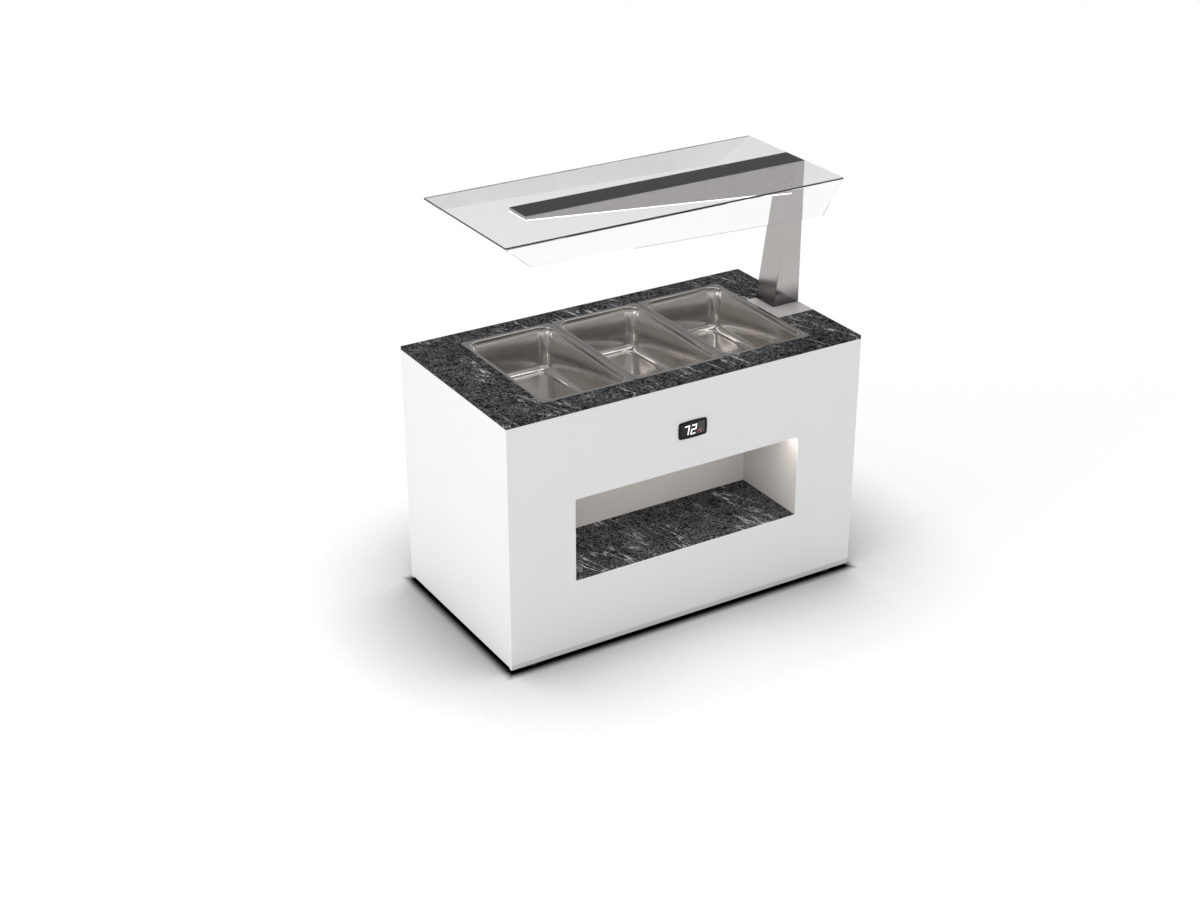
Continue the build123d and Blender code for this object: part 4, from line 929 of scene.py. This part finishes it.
def add_screw(bm, radius, place):
    """A screw head that stands on the point place and faces +Y."""
    known = set(bm.verts)
    circle = bmesh.ops.create_circle(bm, cap_ends=True, segments=SCREW_SIDES, radius=radius)["verts"]
    seat = circle[0].link_faces[0]
    raised = bmesh.ops.extrude_face_region(bm, geom=[seat], use_keep_orig=True)["geom"]
    top = next(item for item in raised if isinstance(item, bmesh.types.BMFace))
    bmesh.ops.translate(bm, vec=(0, 0, SCREW_EDGE * radius), verts=top.verts)
    for inward, rise in SCREW_DOME:
        bmesh.ops.inset_region(bm, faces=[top], thickness=inward * radius, depth=rise * radius)
    for vert in top.verts:
        vert.co.xy *= 1 - LOBE_DEPTH + LOBE_DEPTH * cos(LOBES * atan2(vert.co.y, vert.co.x))
    bmesh.ops.inset_region(bm, faces=[top], thickness=SOCKET_TAPER * radius, depth=-SOCKET_DEPTH * radius)
    head = [vert for vert in bm.verts if vert not in known]
    facing = Matrix.Translation(place) @ Matrix.Rotation(-pi / 2, 4, "X")
    bmesh.ops.transform(bm, matrix=facing, verts=head)


print("a head stands", round(SCREW_EDGE + sum(rise for _, rise in SCREW_DOME), 2), "radii high")

# %% [markdown]
# Each hinge has two screws in the leaf on the door and two in the leaf on the frame, and the doors'
# screws have to swing with their door. So each body collects its own screws in one bmesh. The hinge
# line comes from the door's joint in the record.

# %% Screw on the hinges
HINGE_SCREW = 0.0033
LEAF_SHEET = 0.0015
LEAF_LENGTH = 0.07
LEAF_SCREW = 0.0178
HINGE_SPREAD = 0.018
DOORS = ("left_door", "right_door")

heads = {body: bmesh.new() for body in ("counter", *DOORS)}
low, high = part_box("hinge_frame_leaves")
leaf_face = low.y + LEAF_SHEET
hinge_middles = (low.z + LEAF_LENGTH / 2, high.z - LEAF_LENGTH / 2)
heights = [middle + offset for middle in hinge_middles for offset in (-HINGE_SPREAD, HINGE_SPREAD)]
for joint in record["behaviour"]["joints"]:
    if joint["child"] in DOORS:
        pin = joint["pos_m"][0]
        inwards = LEAF_SCREW if pin < 0 else -LEAF_SCREW
        for height in heights:
            add_screw(heads[joint["child"]], HINGE_SCREW, (pin + inwards, leaf_face, height))
            add_screw(heads["counter"], HINGE_SCREW, (pin - inwards, leaf_face, height))
print("hinge screws at", [round(height, 3) for height in heights], "m")

# %% [markdown]
# The switch plate has a screw at each end, and the control box's cover one in each corner. Then every
# body's screws become one piece.

# %% Screw on the plate and the cover
PLATE_SCREW = 0.0026
COVER_SCREW = 0.003
SCREW_INSET = 0.008

low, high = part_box("switch_plate")
for x in (low.x + SCREW_INSET, high.x - SCREW_INSET):
    add_screw(heads["counter"], PLATE_SCREW, (x, high.y, (low.z + high.z) / 2))
low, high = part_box("control_box_cover")
for x in (low.x + SCREW_INSET, high.x - SCREW_INSET):
    for z in (low.z + SCREW_INSET, high.z - SCREW_INSET):
        add_screw(heads["counter"], COVER_SCREW, (x, high.y, z))
for body, bm in heads.items():
    made = piece(f"{body}_screws", bm, finishes["polished_steel"], body)
    print(made.name, len(made.data.polygons), "faces")

# %% [markdown]
# ## Camera
# The camera stands where the photograph was taken from. Its place, angles and lens were solved from
# the straight edges of the counter, whose true lengths are known.

# %% Camera
CAMERA_PLACE = (-3.10173, -4.92013, 3.33729)
CAMERA_TILT = 63.683
CAMERA_ROLL = 0.088
CAMERA_HEADING = -31.253
LENS = 59.43
SENSOR = 36.0
FAR_END = 200.0

camera = in_scene("camera", bpy.data.cameras.new("camera"))
camera.data.lens = LENS
camera.data.sensor_width = SENSOR
camera.data.clip_end = FAR_END
camera.location = CAMERA_PLACE
camera.rotation_euler = [radians(angle) for angle in (CAMERA_TILT, CAMERA_ROLL, CAMERA_HEADING)]
bpy.context.scene.camera = camera
print("camera", [round(x, 2) for x in camera.location])

# %% [markdown]
# ## Floor
# The floor is white wherever it is seen, and greyer in the light that it throws back, so that it
# doesn't bleach the casing from below. Ambient occlusion deepens the soft shadow round the counter.
# A narrow dark line lies along the foot of the casing. It is painted by the distance from the
# casing's footprint, because at this size the shadow of such a low gap is mostly noise.

# %% Floor
FLOOR_REACH = 40.0
FLOOR_SEEN = 1.05
FLOOR_BOUNCE = 0.8
SHADOW_REACH = 0.55
SHADOW_DEPTH = 1.4
SHADOW_SAMPLES = 8
CASING = ("left_side_panel", "right_side_panel", "front_panel", "rear_panel")
CONTACT = (-0.004, 0.034)


def floor_paint():
    finish = Finish("studio_floor")
    seen = finish.ray("Camera").larger(finish.ray("Glossy")).larger(finish.ray("Transmission"))
    shade = finish.mix(seen, FLOOR_BOUNCE, FLOOR_SEEN)
    x, y = [finish.axis(finish.place(), name) for name in "XY"]
    left, right, front, rear = [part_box(node) for node in CASING]
    outside = (left[0].x - x).larger(x - right[1].x).larger(front[0].y - y).larger(y - rear[1].y)
    settings = {"samples": SHADOW_SAMPLES}
    wide = finish.node("ShaderNodeAmbientOcclusion", settings, {"Distance": SHADOW_REACH}, "AO")
    shade = finish.mix(outside.rise(*CONTACT) * wide ** SHADOW_DEPTH, 0.0, shade)
    return finish.done(finish.node("ShaderNodeBsdfDiffuse", {}, {"Color": shade}))


bm = bmesh.new()
bmesh.ops.create_grid(bm, x_segments=1, y_segments=1, size=FLOOR_REACH)
floor_mesh = bpy.data.meshes.new("studio_floor")
bm.to_mesh(floor_mesh)
bm.free()
floor_mesh.materials.append(floor_paint())
floor = in_scene("studio_floor", floor_mesh)
print("floor", 2 * FLOOR_REACH, "m across")

# %% [markdown]
# ## World
# The world is the studio's even light, and plain white where the camera looks at it, directly or
# through a pane. Steel needs something to mirror, or it looks like grey paint. So for mirrored rays
# the world is bright near the horizon, dimmer above it, and dimmest high up behind the counter.

# %% World
WORLD_LEVEL = 0.95
WORLD_SEEN = 1.0
HORIZON_GLOSS = 0.95
FRONT_GLOSS = 0.5
BACK_GLOSS = 0.26
ABOVE_HORIZON = (0.0, 0.2)
TO_THE_BACK = (-0.45, 0.35)


def studio_world():
    world = bpy.data.worlds.new("studio")
    finish = Finish("studio", world)
    direction = finish.place("Generated")
    above = finish.axis(direction, "Z").rise(*ABOVE_HORIZON)
    behind = finish.axis(direction, "Y").rise(*TO_THE_BACK)
    upper = finish.mix(behind, FRONT_GLOSS, BACK_GLOSS)
    gloss = finish.mix(above, HORIZON_GLOSS, upper)
    level = finish.mix(finish.ray("Glossy"), WORLD_LEVEL, gloss)
    seen = finish.ray("Camera").larger(finish.ray("Transmission"))
    shown = finish.mix(seen, level, WORLD_SEEN)
    return finish.done(finish.node("ShaderNodeBackground", {}, {"Color": shown, "Strength": 1.0}))


bpy.context.scene.world = studio_world()
bpy.context.scene.view_settings.view_transform = "Standard"
print("world at", WORLD_LEVEL, "for plain light")

# %% [markdown]
# ## Lamp
# One large soft lamp stands to the left of the counter and faces it. It lifts the left-hand side
# above the front, which tells the two white faces apart, and it is wide enough to leave no hard shadow.

# %% Lamp
LAMP_WATTS = 31.0
LAMP_HEIGHT = 2.6
LAMP_WIDTH = 1.8
LAMP_PLACE = (-3.6, -0.4, 1.15)
LAMP_TURN = radians(-90)

lamp = in_scene("left_softbox", bpy.data.lights.new("left_softbox", "AREA"))
lamp.data.shape = "RECTANGLE"
lamp.data.size = LAMP_HEIGHT
lamp.data.size_y = LAMP_WIDTH
lamp.data.energy = LAMP_WATTS
lamp.location = LAMP_PLACE
lamp.rotation_euler = (0, LAMP_TURN, 0)
print("lamp", LAMP_WATTS, "W")

# %% [markdown]
# ## End

# %% End
print("scene ready")
